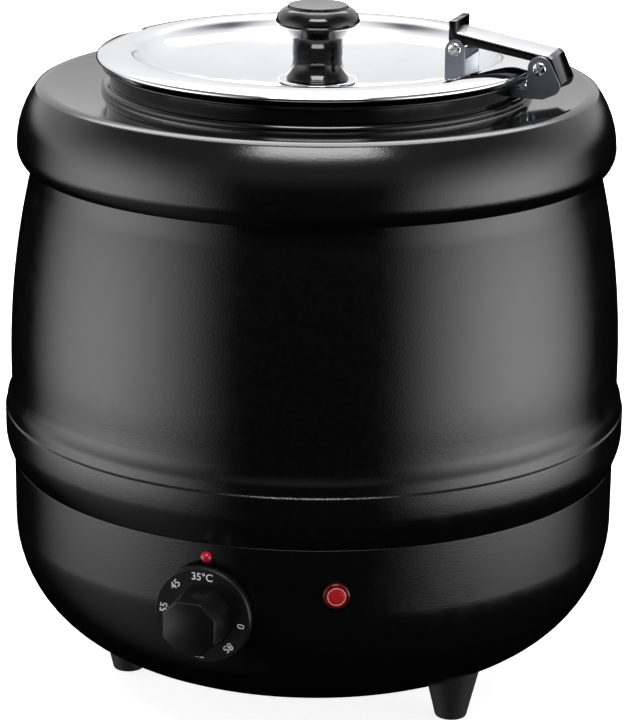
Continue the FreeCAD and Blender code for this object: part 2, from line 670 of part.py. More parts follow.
def lid_ring():
    """Black ring on the pot rim: outer wall with a lip, a top that slopes inward so that
    drips run back into the pot, and an inner skirt."""
    shell = turned("lid_ring_shell", [
        (("ring_radius", -1.5), ("pot_rim", 0.0)),
        (("ring_radius", 0.0), ("pot_rim", 0.0)),
        (("ring_radius", 0.0), 345.0),
        (("ring_radius", 3.6), 345.4, 0.9),
        (("ring_radius", 3.6), ("ring_top", 0.2)),
        (("ring_radius", 0.0), ("ring_top", 0.0)),
        (("pot_radius", -1.2), ("ring_top", -2.5), 1.5),
        (("pot_radius", -2.7), ("ring_top", -4.0)),
        (("pot_radius", -2.7), ("pot_rim", -1.1)),
        (("pot_radius", -1.2), ("pot_rim", -1.1)),
        (("pot_radius", -1.2), ("ring_top", -4.1)),
        (("ring_radius", -1.5), ("ring_top", -2.0)),
    ])
    holes = [cylinder(f"ring_rivet_hole_{n}", RIVET_HOLE, 8.0, (106, side, RIVET_HEIGHT), (1, 0, 0))
             for n, side in enumerate(RIVET_SIDES)]
    keep(cut_away("lid_ring", shell, holes), "lid_ring")


def ring_bracket():
    """Pair of ears on a web that is riveted to the outside of the lid ring."""
    reach = "outer_reach"
    rise = "outer_rise"
    width = DIMENSIONS["arm_width"][0] + 0.6 + 2 * BRACKET_PLATE
    body = new_body("ring_bracket_blank")
    padded(body, "ring_ears", [
        (108.5, 339.2),
        (128.0, 339.2),
        ((reach, 8.6), 342.2, 5.5),
        ((reach, 11.0), 347.6),
        ((reach, 5.6), (rise, 3.1), 6.4),
        ((reach, 0.0), (rise, 6.4), 6.4),
        ((reach, -6.4), (rise, 0.0)),
        ((reach, -6.4), 345.0, -1.0),
        ((reach, -7.4), 344.0),
        (108.5, 344.0),
    ], width)
    pocketed(body, "ring_ear_gap", [
        (113.0, 330.0), (150.0, 330.0), (150.0, 370.0), (113.0, 370.0)],
        ("arm_width", 0.6))
    cutters = [cylinder("ring_round", ("ring_radius", 0.05), 30.0, (0, 0, 330), (0, 0, 1)),
               cylinder("ring_pin_bore", ("pin_radius", FIT), 60.0,
                        (size((reach, 0)), -30, size((rise, 0))), (0, 1, 0))]
    for n, side in enumerate(RIVET_SIDES):
        cutters.append(cylinder(f"web_rivet_hole_{n}", RIVET_HOLE, 8.0,
                                (108, side, RIVET_HEIGHT), (1, 0, 0)))
    keep(cut_away("ring_bracket", body, cutters), "ring_bracket")
    group("ring_rivets", [
        fastener(f"ring_rivet_{n}", (2.6, 1.0), (RIVET_HOLE - FIT, 6.5),
                 (113.0, side, RIVET_HEIGHT), (-1, 0, 0))
        for n, side in enumerate(RIVET_SIDES)])


def hinge_pin(label, reach, rise):
    """Riveted pin across a pair of ears."""
    width = DIMENSIONS["arm_width"][0] + 0.6 + 2 * BRACKET_PLATE
    x = DIMENSIONS[reach][0]
    z = DIMENSIONS[rise][0]
    shank = cylinder(f"{label}_shank", ("pin_radius", 0.0), width + 1, (x, -(width + 1) / 2, z),
                     (0, 1, 0))
    heads = [cylinder(f"{label}_head_{n}", 3.5, 1.3, (x, side * (width / 2 + 0.05), z), (0, side, 0))
             for n, side in enumerate((-1, 1))]
    keep(fused(label, [shank] + heads), label)


# ---------------------------------------------------------------- hinge arm
def hinge_arm():
    """Bent channel link: top strip, two side cheeks, upturned lip and end stop."""
    inner, inner_z = "inner_reach", "inner_rise"
    outer, outer_z = "outer_reach", "outer_rise"
    lobe = 4.1
    body = new_body("hinge_arm_blank")
    padded(body, "arm_channel", [
        ((inner, -lobe), (inner_z, 0.0), lobe),
        ((inner, 0.0), (inner_z, -lobe), lobe),
        ((inner, lobe), (inner_z, 0.0)),
        ((inner, lobe), (inner_z, 2.6)),
        ((outer, -4.6), (outer_z, 3.4)),
        ((outer, -lobe), (outer_z, 0.0), lobe),
        ((outer, 0.0), (outer_z, -lobe), lobe),
        ((outer, lobe), (outer_z, 0.0)),
        ((outer, lobe + 0.2), (outer_z, 3.4)),
        ((outer, 10.2), (outer_z, -8.5)),
        ((outer, 11.6), (outer_z, -7.9)),
        ((outer, 5.8), (outer_z, 5.0), 2.6),
        ((outer, 3.4), (outer_z, 6.6)),
        ((inner, -0.1), (inner_z, 8.6)),
        ((inner, -0.1), (inner_z, 14.5)),
        ((inner, -lobe), (inner_z, 14.5)),
    ], ("arm_width", 0.0))
    pocketed(body, "arm_hollow", [
        ((inner, -12.0), (inner_z, -20.0)),
        ((outer, 14.9), (outer_z, -18.5)),
        ((outer, lobe + 0.2), (outer_z, 3.4)),
        ((outer, 3.2), (outer_z, 5.1)),
        ((inner, -0.1), (inner_z, 7.1)),
        ((inner, -12.0), (inner_z, 6.0)),
    ], ("arm_width", -2.6))
    bores = [cylinder(f"arm_bore_{n}", ("pin_radius", FIT), 60.0,
                      (DIMENSIONS[reach][0], -30, DIMENSIONS[rise][0]), (0, 1, 0))
             for n, (reach, rise) in enumerate(((inner, inner_z), (outer, outer_z)))]
    keep(cut_away("hinge_arm", body, bores), "hinge_arm")


# ---------------------------------------------------------------- lid
def lid():
    """Dished stainless lid with a broad rounded rim, a ladle notch and fixing holes."""
    dish = 424.0
    gauge = 0.9
    shell = turned("lid_shell", [
        (0.0, ("dish_height", 0.0), dish),
        (84.0, ("dish_height", 8.4), 22.0),
        (95.5, 350.4, -9.0),
        (101.5, 354.4, -34.0),
        (("lid_radius", -1.2), ("lid_edge", 2.6), -1.6),
        (("lid_radius", 0.0), ("lid_edge", 1.0)),
        (("lid_radius", -0.6), ("lid_edge", 0.0)),
        (("lid_radius", -1.8), ("lid_edge", 0.0)),
        (("lid_radius", -2.4), ("lid_edge", 2.1), 33.0),
        (101.6, 353.5, 8.1),
        (96.3, 350.0, -22.9),
        (84.2, ("dish_height", 7.5), -dish - gauge),
        (0.0, ("dish_height", -gauge)),
    ])
    way = outward(NOTCH_AZIMUTH)
    notch = cylinder("notch_round", 12.0, 40.0, (119 * way[0], 119 * way[1], 330), (0, 0, 1))
    holes = [notch, cylinder("knob_hole", KNOB_SCREW_HOLE, 20.0, (0, 0, 325), (0, 0, 1))]
    reach = DIMENSIONS["inner_reach"][0]
    for n, side in enumerate(RIVET_SIDES):
        holes.append(cylinder(f"lid_rivet_hole_{n}", RIVET_HOLE + FIT, 20.0,
                              (reach, side, 335), (0, 0, 1)))
    keep(cut_away("lid", shell, holes), "lid")


def lid_bracket():
    """Pair of ears with an outer web, riveted into the dish of the lid."""
    inner, inner_z = "inner_reach", "inner_rise"
    width = DIMENSIONS["arm_width"][0] + 0.6 + 2 * BRACKET_PLATE
    body = new_body("lid_bracket_blank")
    padded(body, "lid_ears", [
        ((inner, -5.2), 343.3),
        ((inner, 5.2), 346.0),
        ((inner, 5.2), (inner_z, 0.0), 5.2),
        ((inner, 0.0), (inner_z, 5.2), 5.2),
        ((inner, -5.2), (inner_z, 0.0)),
    ], width)
    pocketed(body, "lid_ear_gap", [
        ((inner, -9.0), 343.8),
        ((inner, 3.6), 347.1),
        ((inner, 3.6), 356.8),
        ((inner, 9.0), 356.8),
        ((inner, 9.0), 380.0),
        ((inner, -9.0), 380.0),
    ], ("arm_width", 0.6))
    reach = DIMENSIONS[inner][0]
    bores = [cylinder("lid_pin_bore", ("pin_radius", FIT), 60.0,
                      (reach, -30, DIMENSIONS[inner_z][0]), (0, 1, 0))]
    for n, side in enumerate(RIVET_SIDES):
        bores.append(cylinder(f"bracket_rivet_hole_{n}", RIVET_HOLE + FIT, 20.0,
                              (reach, side, 335), (0, 0, 1)))
    keep(cut_away("lid_bracket", body, bores), "lid_bracket")
    rivets = []
    for n, side in enumerate(RIVET_SIDES):
        shank = cylinder(f"lid_rivet_shank_{n}", RIVET_HOLE, 6.4, (reach, side, 341.4), (0, 0, 1))
        low = cylinder(f"lid_rivet_low_{n}", 2.8, 1.6, (reach, side, 340.4), (0, 0, 1))
        high = cylinder(f"lid_rivet_high_{n}", 2.6, 1.2, (reach, side, 347.0), (0, 0, 1))
        rivets.append(fused(f"lid_rivet_{n}", [shank, low, high]))
    group("lid_rivets", rivets)


def knob():
    """Glossy mushroom knob on a washer, held by a screw through the lid."""
    keep(turned("lid_knob", [
        (0.0, 354.0),
        (2.5, 354.0),
        (2.5, 338.2),
        (16.8, 338.2),
        (17.2, 339.4, -14.0),
        (13.4, 352.0, -14.0),
        (16.2, 362.0),
        (("knob_radius", -1.6), ("knob_top", -11.0), 2.2),
        (("knob_radius", 0.0), ("knob_top", -8.6), 9.0),
        (17.0, ("knob_top", -1.6)),
        (16.4, ("knob_top", -1.6)),
        (15.8, ("knob_top", 0.0)),
        (0.0, ("knob_top", 0.0)),
    ]), "lid_knob")
    disc = cylinder("washer_disc", 21.0, 1.5, (0, 0, 336.7), (0, 0, 1))
    keep(cut_away("knob_washer", disc, [
        cylinder("washer_bore", KNOB_SCREW_HOLE, 5.0, (0, 0, 335), (0, 0, 1))]), "knob_washer")
    keep(fastener("knob_screw", (5.0, 2.6), (2.45, 17.5), (0, 0, 335.05), (0, 0, 1)), "knob_screw")


lower_bowl()
barrel_shell()
collar()
collar_fixings()
water_well()
base_plate()
feet()
heater()
thermostat()
thermal_cutout()
index_bead()
lamp()
cable_gland()
terminals()
wiring()
control_dial()
thermostat_shaft()
inner_pot()
lid_ring()
ring_bracket()
hinge_pin("outer_hinge_pin", "outer_reach", "outer_rise")
hinge_arm()
lid()
lid_bracket()
hinge_pin("inner_hinge_pin", "inner_reach", "inner_rise")
knob()

# ---------------------------------------------------------------- check and export
doc.recompute()
for item in doc.Objects:
    if "Invalid" in item.State or "Error" in item.State:
        raise RuntimeError(f"{item.Label} did not recompute: {item.State}")
os.makedirs("parts", exist_ok=True)
for part in NODES:
    if part.Shape.isNull() or not part.Shape.isValid():
        raise RuntimeError(f"{part.Label} has no valid shape")
    part.Shape.exportStep(f"parts/{part.Label}.step")
    bounds = part.Shape.BoundBox
    print(f"{part.Label}: {len(part.Shape.Solids)} solids, {part.Shape.Volume / 1000:.1f} cm3, "
          f"z {bounds.ZMin:.1f} to {bounds.ZMax:.1f}, r {bounds.XMin:.1f} {bounds.XMax:.1f}")
print(len(NODES), "nodes")
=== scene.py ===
"""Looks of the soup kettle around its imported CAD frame: smooth turned shells, the dished
mirror lid with its ladle notch, the hinge, the dial with its scale, and a plain studio."""
import math

import bmesh
import bpy
from mathutils import Matrix, Vector


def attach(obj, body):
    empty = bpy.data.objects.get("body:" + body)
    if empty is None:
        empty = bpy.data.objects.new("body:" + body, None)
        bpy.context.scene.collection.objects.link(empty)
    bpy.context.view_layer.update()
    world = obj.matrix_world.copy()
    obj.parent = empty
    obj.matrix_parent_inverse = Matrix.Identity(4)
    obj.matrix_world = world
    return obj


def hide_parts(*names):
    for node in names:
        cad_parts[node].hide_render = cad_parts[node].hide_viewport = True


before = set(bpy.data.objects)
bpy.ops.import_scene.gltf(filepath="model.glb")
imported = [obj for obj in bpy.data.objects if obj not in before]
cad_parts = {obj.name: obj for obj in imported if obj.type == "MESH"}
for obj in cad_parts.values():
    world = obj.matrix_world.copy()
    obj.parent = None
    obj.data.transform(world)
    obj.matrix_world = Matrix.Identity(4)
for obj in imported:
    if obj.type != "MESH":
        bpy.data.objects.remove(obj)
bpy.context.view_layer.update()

MM = 0.001
ARC_STEP = math.radians(7.0)
ARC_SPAN = 6.0
CORNER_TURN = math.radians(15.0)
SHARP = math.radians(38.0)
NOISE_LOW = 0.3
NOISE_HIGH = 0.7


# ------------------------------------------------------------------ outlines
def arc_points(start, end, radius):
    """Points between start and end on an arc; a positive radius turns left."""
    chord = end - start
    reach = math.sqrt(max(radius * radius - chord.length_squared / 4, 0.0))
    left = Vector((-chord.y, chord.x)).normalized()
    centre = (start + end) / 2 + left * (reach if radius > 0 else -reach)
    first = math.atan2(start.y - centre.y, start.x - centre.x)
    last = math.atan2(end.y - centre.y, end.x - centre.x)
    sweep = (last - first) % (2 * math.pi)
    if radius < 0:
        sweep -= 2 * math.pi
    steps = max(3, math.ceil(abs(sweep) / ARC_STEP), math.ceil(abs(sweep * radius) / ARC_SPAN))
    return [centre + abs(radius) * Vector((math.cos(first + sweep * k / steps),
                                           math.sin(first + sweep * k / steps)))
            for k in range(1, steps)]


def outline(corners, soft=0.35):
    """Dense closed outline from (across, up) or (across, up, arc radius to the next)."""
    points = []
    for k, corner in enumerate(corners):
        start = Vector(corner[:2])
        end = Vector(corners[(k + 1) % len(corners)][:2])
        points.append(start)
        if len(corner) > 2:
            points.extend(arc_points(start, end, corner[2]))
    eased = []
    for k, here in enumerate(points):
        back = points[k - 1] - here
        ahead = points[(k + 1) % len(points)] - here
        on_axis = here.x < 1e-6
        if on_axis or back.angle(-ahead, 0.0) < CORNER_TURN:
            eased.append(here)
            continue
        first = here + back.normalized() * min(soft, 0.45 * back.length)
        last = here + ahead.normalized() * min(soft, 0.45 * ahead.length)
        for t in (0.0, 0.25, 0.5, 0.75, 1.0):
            eased.append(first * (1 - t) ** 2 + here * 2 * t * (1 - t) + last * t * t)
    return eased


# ------------------------------------------------------------------ mesh building
def mesh_object(name, verts, faces, place=None, sharp=SHARP):
    """Object from vertices in millimetres, with outward normals and smooth shading."""
    mesh = bpy.data.meshes.new(name)
    mesh.from_pydata([tuple(v) for v in verts], [], faces)
    bm = bmesh.new()
    bm.from_mesh(mesh)
    bmesh.ops.remove_doubles(bm, verts=bm.verts, dist=1e-5)
    bmesh.ops.recalc_face_normals(bm, faces=bm.faces)
    bm.to_mesh(mesh)
    bm.free()
    mesh.transform(Matrix.Diagonal((MM, MM, MM, 1.0)) @ (place or Matrix.Identity(4)))
    mesh.shade_smooth()
    mesh.set_sharp_from_angle(angle=sharp)
    made = bpy.data.objects.new(name, mesh)
    bpy.context.scene.collection.objects.link(made)
    steady = made.modifiers.new("steady_normals", "WEIGHTED_NORMAL")
    steady.keep_sharp = True
    steady.weight = 80
    return made


def turned(name, corners, turns=192, soft=0.35, place=None, ribs=None):
    """Surface of revolution about local Z. ribs = (count, depth, low, high) grooves it."""
    section = outline(corners, soft)
    verts = []
    starts = []
    for point in section:
        starts.append(len(verts))
        if point.x < 1e-6:
            verts.append((0.0, 0.0, point.y))
            continue
        for k in range(turns):
            angle = 2 * math.pi * k / turns
            radius = point.x
            if ribs and ribs[2] < point.y < ribs[3]:
                radius -= ribs[1] * (0.5 + 0.5 * math.cos(ribs[0] * angle)) ** 3
            verts.append((radius * math.cos(angle), radius * math.sin(angle), point.y))
    faces = []
    for row, point in enumerate(section):
        after = (row + 1) % len(section)
        here_axis = point.x < 1e-6
        next_axis = section[after].x < 1e-6
        if here_axis and next_axis:
            continue
        for k in range(turns):
            near = (k + 1) % turns
            if here_axis:
                faces.append((starts[row], starts[after] + k, starts[after] + near))
            elif next_axis:
                faces.append((starts[row] + k, starts[row] + near, starts[after]))
            else:
                faces.append((starts[row] + k, starts[row] + near,
                              starts[after] + near, starts[after] + k))
    return mesh_object(name, verts, faces, place)


def axis_place(base, along, roll=0.0):
    """Matrix that puts local Z along a direction from a base point, all in millimetres."""
    return (Matrix.Translation(Vector(base))
            @ Vector(along).to_track_quat("Z", "Y").to_matrix().to_4x4()
            @ Matrix.Rotation(roll, 4, "Z"))


def plate_mesh(bm, corners, low, high, soft=0.3):
    """Add an (x, z) outline extruded from y = low to y = high to a bmesh."""
    section = outline(corners, soft)
    front = [bm.verts.new((p.x, low, p.y)) for p in section]
    back = [bm.verts.new((p.x, high, p.y)) for p in section]
    bm.faces.new(front)
    bm.faces.new(list(reversed(back)))
    for k in range(len(section)):
        after = (k + 1) % len(section)
        bm.faces.new((front[after], front[k], back[k], back[after]))


def box_mesh(bm, low, high):
    """Add a box between two corners to a bmesh."""
    made = bmesh.ops.create_cube(bm, size=1.0)["verts"]
    for v in made:
        v.co = Vector(low[k] + (v.co[k] + 0.5) * (high[k] - low[k]) for k in range(3))


def from_bmesh(name, bm, bevel=0.25, place=None, segments=2):
    """Object from a bmesh in millimetres with its hard edges rounded."""
    bmesh.ops.recalc_face_normals(bm, faces=bm.faces)
    mesh = bpy.data.meshes.new(name)
    bm.to_mesh(mesh)
    bm.free()
    mesh.transform(Matrix.Diagonal((MM, MM, MM, 1.0)) @ (place or Matrix.Identity(4)))
    mesh.shade_smooth()
    made = bpy.data.objects.new(name, mesh)
    bpy.context.scene.collection.objects.link(made)
    if bevel:
        round_edges = made.modifiers.new("rounded_edges", "BEVEL")
        round_edges.width = bevel * MM
        round_edges.segments = segments
        round_edges.limit_method = "ANGLE"
        round_edges.angle_limit = math.radians(32)
        round_edges.harden_normals = True
    else:
        mesh.set_sharp_from_angle(angle=SHARP)
    return made


def settled(made, cutters=()):
    """The object with its modifiers, and any cutters taken out of it, made permanent."""
    for cutter in cutters:
        cut = made.modifiers.new("cut", "BOOLEAN")
        cut.operation = "DIFFERENCE"
        cut.solver = "EXACT"
        cut.object = cutter
    bpy.context.view_layer.update()
    graph = bpy.context.evaluated_depsgraph_get()
    fresh = bpy.data.meshes.new_from_object(made.evaluated_get(graph))
    made.modifiers.clear()
    made.data = fresh
    for cutter in cutters:
        bpy.data.objects.remove(cutter)
    return made


def joined(name, parts):
    """One object from several, with their modifiers applied."""
    graph = bpy.context.evaluated_depsgraph_get()
    bm = bmesh.new()
    for part in parts:
        bm.from_mesh(part.evaluated_get(graph).to_mesh())
    mesh = bpy.data.meshes.new(name)
    bm.to_mesh(mesh)
    bm.free()
    mesh.shade_smooth()
    mesh.set_sharp_from_angle(angle=SHARP)
    made = bpy.data.objects.new(name, mesh)
    bpy.context.scene.collection.objects.link(made)
    for part in parts:
        bpy.data.objects.remove(part)
    return made


def cutter_box(low, high, place):
    """Box that is taken out of a screw or pin head."""
    bm = bmesh.new()
    box_mesh(bm, low, high)
    return from_bmesh("cutter", bm, bevel=0.0, place=place)


# ------------------------------------------------------------------ shader nodes
def feed(tree, socket, amount):
    """Link an output to a socket, or set the socket to a plain value."""
    if isinstance(amount, bpy.types.NodeSocket):
        tree.links.new(amount, socket)
    else:
        socket.default_value = amount


def maths(tree, operation, *values):
    """Result of a maths node on plain numbers or other nodes' outputs."""
    made = tree.nodes.new("ShaderNodeMath")
    made.operation = operation
    for k, amount in enumerate(values):
        feed(tree, made.inputs[k], amount)
    return made.outputs[0]


def ramp(tree, value, low, high, shape="LINEAR", start=0.0, end=1.0):
    """start at low, end at high, held beyond them; low may be above high."""
    made = tree.nodes.new("ShaderNodeMapRange")
    made.interpolation_type = shape
    feed(tree, made.inputs["Value"], value)
    for key, amount in (("From Min", low), ("From Max", high), ("To Min", start), ("To Max", end)):
        made.inputs[key].default_value = amount
    return made.outputs[0]


# ------------------------------------------------------------------ materials
class Look:
    """Node material with a Principled shader and a few ways to add surface detail."""

    def __init__(self, name, colour, rough, metal=0.0, **fixed):
        self.material = bpy.data.materials.new(name)
        self.material.use_nodes = True
        self.tree = self.material.node_tree
        self.shader = self.tree.nodes["Principled BSDF"]
        self.colour = (*colour, 1.0)
        self.shader.inputs["Base Color"].default_value = self.colour
        self.shader.inputs["Roughness"].default_value = rough
        self.shader.inputs["Metallic"].default_value = metal
        for key, amount in fixed.items():
            self.shader.inputs[key.replace("_", " ")].default_value = amount
        self.place = self.node("ShaderNodeTexCoord").outputs["Object"]
        self.normal = None

    def node(self, kind, **inputs):
        made = self.tree.nodes.new(kind)
        for key, amount in inputs.items():
            feed(self.tree, made.inputs[key.replace("_", " ")], amount)
        return made

    def noise(self, size, detail=3.0, stretch=None):
        """Noise value whose features are about size millimetres across."""
        where = self.place
        if stretch:
            where = self.node("ShaderNodeMapping", Vector=where, Scale=stretch).outputs[0]
        made = self.node("ShaderNodeTexNoise", Vector=where, Scale=1.0 / (size * MM),
                         Detail=detail, Roughness=0.55)
        return made.outputs["Fac"]

    def cells(self, size):
        """Soft pebble pattern whose cells are about size millimetres across."""
        made = self.node("ShaderNodeTexVoronoi", Vector=self.place, Scale=1.0 / (size * MM))
        made.feature = "SMOOTH_F1"
        made.inputs["Smoothness"].default_value = 0.7
        return made.outputs["Distance"]

    def bump(self, height, depth, strength=1.0):
        """Add relief of depth millimetres."""
        made = self.node("ShaderNodeBump", Height=height, Distance=depth * MM,
                         Strength=strength)
        if self.normal is not None:
            self.tree.links.new(self.normal, made.inputs["Normal"])
        self.normal = made.outputs["Normal"]
        self.tree.links.new(self.normal, self.shader.inputs["Normal"])

    def within(self, radius, fade):
        """1 within a radius of the kettle's axis and 0 beyond it, with a soft step, in mm."""
        level = self.node("ShaderNodeVectorMath", Vector=self.place)
        level.operation = "MULTIPLY"
        level.inputs[1].default_value = (1.0, 1.0, 0.0)
        reach = self.node("ShaderNodeVectorMath")
        reach.operation = "LENGTH"
        self.tree.links.new(level.outputs[0], reach.inputs[0])
        return ramp(self.tree, reach.outputs["Value"], (radius + fade) * MM, (radius - fade) * MM)

    def above(self, height, fade):
        """1 above a height and 0 below it, with a soft step, in mm."""
        parts = self.node("ShaderNodeSeparateXYZ", Vector=self.place)
        return ramp(self.tree, parts.outputs["Z"], (height - fade) * MM, (height + fade) * MM)

    def opposite(self, value):
        return maths(self.tree, "SUBTRACT", 1.0, value)

    def vary_rough(self, source, low, high):
        """Roughness that follows a noise value from low to high."""
        rough = ramp(self.tree, source, NOISE_LOW, NOISE_HIGH, start=low, end=high)
        self.tree.links.new(rough, self.shader.inputs["Roughness"])

    def vary_colour(self, source, other, low=0.35, high=0.7):
        """Colour that turns into another as the source goes from low to high."""
        blend = self.tree.nodes.new("ShaderNodeMix")
        blend.data_type = "RGBA"
        self.tree.links.new(ramp(self.tree, source, low, high), blend.inputs[0])
        blend.inputs[6].default_value = self.colour
        blend.inputs[7].default_value = (*other, 1.0)
        self.tree.links.new(blend.outputs[2], self.shader.inputs["Base Color"])


GRAIN_CELL = 0.85
GRAIN_FINE = 0.45
COAT_SHADE = 0.0022
COAT_ROUGH = 0.15
COAT_RELIEF = 0.03
DECK_ROUGH = 0.07
DECK_R = 148.0
# Radius and height beyond which the pot rim's steel is darkened as a painted reflection.
RIM_REFLECTION_PAINT_R = 106.0
RIM_REFLECTION_PAINT_FROM = 334.0


def coat_look(name, rough, relief, shade=COAT_SHADE):
    """Black powder coat with a fine leather grain."""
    look = Look(name, (shade, shade, shade * 1.03), rough, IOR=1.5)
    look.bump(look.cells(GRAIN_CELL), relief)
    look.bump(look.noise(GRAIN_FINE, 2.0), relief * 0.5)
    look.vary_rough(look.noise(9.0), rough - 0.03, rough + 0.04)
    look.vary_colour(look.noise(3.0), (shade * 1.5, shade * 1.5, shade * 1.55))
    return look.material


def collar_look():
    """Grained black coat on the outside of the collar, smoother and glossier on its deck."""
    look = Look("black_collar_coat", (COAT_SHADE, COAT_SHADE, 0.0023), COAT_ROUGH, IOR=1.5)
    deck = look.within(DECK_R, 2.0)
    outside = look.opposite(deck)
    look.bump(look.cells(GRAIN_CELL), COAT_RELIEF, outside)
    look.bump(look.noise(GRAIN_FINE, 2.0), COAT_RELIEF * 0.5, outside)
    look.bump(look.noise(7.0, 1.0), 0.01)
    rough = ramp(look.tree, deck, 0.0, 1.0, start=COAT_ROUGH, end=DECK_ROUGH)
    look.tree.links.new(rough, look.shader.inputs["Roughness"])
    look.vary_colour(look.noise(3.0), (0.0033, 0.0033, 0.0034))
    return look.material


def pot_look():
    """Polished steel pot whose rolled rim carries a painted dark reflection on its outside."""
    look = Look("polished_pot_steel", (0.80, 0.81, 0.82), 0.12, 1.0)
    look.bump(look.noise(2.2, 4.0, (1.0, 1.0, 12.0)), 0.004, 0.6)
    look.vary_rough(look.noise(14.0, 4.0), 0.10, 0.155)
    # Painted reflection: the rim's outside is darkened to stand in for the black deck and ring
    # that its steel reflects.
    outside = look.opposite(look.within(RIM_REFLECTION_PAINT_R, 0.5))
    painted_dark_reflection = maths(look.tree, "MINIMUM", look.above(RIM_REFLECTION_PAINT_FROM, 0.5), outside)
    look.vary_colour(painted_dark_reflection, (0.05, 0.05, 0.052), 0.1, 0.9)
    return look.material


def steel_look(name, shade, rough, scratch=0.004, stretch=(1.0, 1.0, 12.0)):
    """Stainless sheet with faint polishing lines."""
    look = Look(name, shade, rough, 1.0)
    look.bump(look.noise(2.2, 4.0, stretch), scratch, 0.6)
    look.vary_rough(look.noise(14.0, 4.0), max(rough - 0.02, 0.02), rough + 0.035)
    look.vary_colour(look.noise(30.0), tuple(c * 0.94 for c in shade))
    return look.material


def moulded_look(name, colour, rough, relief, grain, **fixed):
    """Moulded or glossy part with a faint surface grain, sizes in millimetres."""
    look = Look(name, colour, rough, IOR=1.5, **fixed)
    look.bump(look.noise(grain, 2.0), relief)
    look.vary_rough(look.noise(6.0), max(rough - 0.02, 0.02), rough + 0.05)
    look.vary_colour(look.noise(4.0), tuple(c * 1.25 for c in colour))
    return look.material


COAT = coat_look("black_powder_coat", COAT_ROUGH, COAT_RELIEF)
COLLAR_COAT = collar_look()
GLOSS_COAT = coat_look("black_gloss_coat", 0.13, 0.008, 0.002)
MIRROR = steel_look("mirror_stainless", (0.72, 0.725, 0.75), 0.045, 0.0015)
SATIN = steel_look("satin_stainless", (0.70, 0.71, 0.72), 0.24, 0.006)
POLISHED = pot_look()
ZINC = steel_look("zinc_plate", (0.30, 0.32, 0.36), 0.34, 0.01, (1.0, 1.0, 1.0))
# Bright steel colour painted on the arm's top as a reflection on its black coat.
ARM_PAINTED_REFLECTION = steel_look("arm_painted_reflection", (0.50, 0.50, 0.52), 0.30, 0.006)
PIN_STEEL = steel_look("bright_pin_steel", (0.90, 0.90, 0.92), 0.16, 0.004)
DARK_STEEL = steel_look("oxidised_element_steel", (0.22, 0.20, 0.19), 0.42, 0.02)
COPPER = steel_look("copper_tube", (0.62, 0.34, 0.22), 0.28, 0.006)
BRASS = steel_look("brass_fastener", (0.62, 0.46, 0.20), 0.26, 0.006)
PHENOLIC = moulded_look("glossy_black_phenolic", (0.002, 0.002, 0.002), 0.07, 0.002, 1.6)
DIAL_BLACK = moulded_look("satin_black_dial", (0.004, 0.004, 0.004), 0.30, 0.012, 0.5,
                          Specular_IOR_Level=0.22)
NYLON = moulded_look("black_nylon", (0.014, 0.014, 0.015), 0.42, 0.02, 0.7)
RUBBER = moulded_look("black_rubber", (0.012, 0.012, 0.012), 0.50, 0.03, 0.8)
BEAD_RED = moulded_look("red_bead", (0.32, 0.006, 0.02), 0.08, 0.003, 0.8)
LENS_RED = moulded_look("red_lens", (0.30, 0.012, 0.014), 0.10, 0.004, 0.7)
RIM_RED = moulded_look("dark_red_rim", (0.07, 0.003, 0.004), 0.14, 0.004, 0.7)
RIM_LIGHT = moulded_look("pale_lens_ring", (0.45, 0.16, 0.15), 0.25, 0.004, 0.7)
SCALE_WHITE = moulded_look("white_scale_print", (0.50, 0.50, 0.50), 0.5, 0.006, 0.3)
CREAM = moulded_look("cream_moulded_case", (0.56, 0.50, 0.36), 0.45, 0.02, 0.8)
CERAMIC = moulded_look("white_ceramic", (0.72, 0.70, 0.64), 0.55, 0.03, 0.6)
WIRE_RED = moulded_look("silicone_insulation", (0.42, 0.05, 0.03), 0.45, 0.02, 0.5)
BROWN = moulded_look("brown_phenolic_can", (0.07, 0.035, 0.02), 0.35, 0.02, 0.6)

CAD_LOOKS = {
    "base_plate": COAT, "water_well": SATIN, "heating_element": DARK_STEEL,
    "sensor_bulb": COPPER, "capillary_tube": COPPER, "terminal_screws": BRASS,
    "earth_stud": BRASS, "thermostat_body": CREAM, "terminal_block": CERAMIC,
    "internal_wires": WIRE_RED, "thermal_cutout": BROWN, "lamp_holder": NYLON,
    "gland_nut": NYLON, "ring_bracket": ZINC, "lid_bracket": ZINC,
}
for node_name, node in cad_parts.items():
    node.data.materials.clear()
    node.data.materials.append(CAD_LOOKS.get(node_name, SATIN))


def finished(made, look, body, slot, *nodes):
    """Give a piece its material and body, and hide the CAD nodes it stands for; slot is not used.
    """
    made.data.materials.clear()
    made.data.materials.append(look)
    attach(made, body)
    if nodes:
        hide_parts(*nodes)
    return made


# ------------------------------------------------------------------ casing
BOWL_R = 165.5
BOWL_CORNER = 70.0
BOWL_LEVEL = 96.3
BOWL_FLOOR = 20.0
FLOOR_R = 89.0
LEAN = math.radians(19.5)
hub = BOWL_R - BOWL_CORNER
outer_low = (hub + BOWL_CORNER * math.sin(LEAN), BOWL_LEVEL - BOWL_CORNER * math.cos(LEAN))
INNER = BOWL_CORNER - 1.5
inner_low = (hub + INNER * math.sin(LEAN), BOWL_LEVEL - INNER * math.cos(LEAN))
bowl = turned("bowl_shell", [
    (163.8, 142.0), (163.8, 131.0), (BOWL_R, 131.0), (BOWL_R, BOWL_LEVEL, -BOWL_CORNER),
    outer_low, (FLOOR_R, BOWL_FLOOR), (78.0, BOWL_FLOOR), (78.0, 21.5), (88.6, 21.5),
    (*inner_low, INNER),
    (164.0, BOWL_LEVEL), (164.0, 129.2), (162.3, 131.2), (162.3, 142.0)], 256)
finished(bowl, COAT, "casing", "lower_bowl", "lower_bowl")

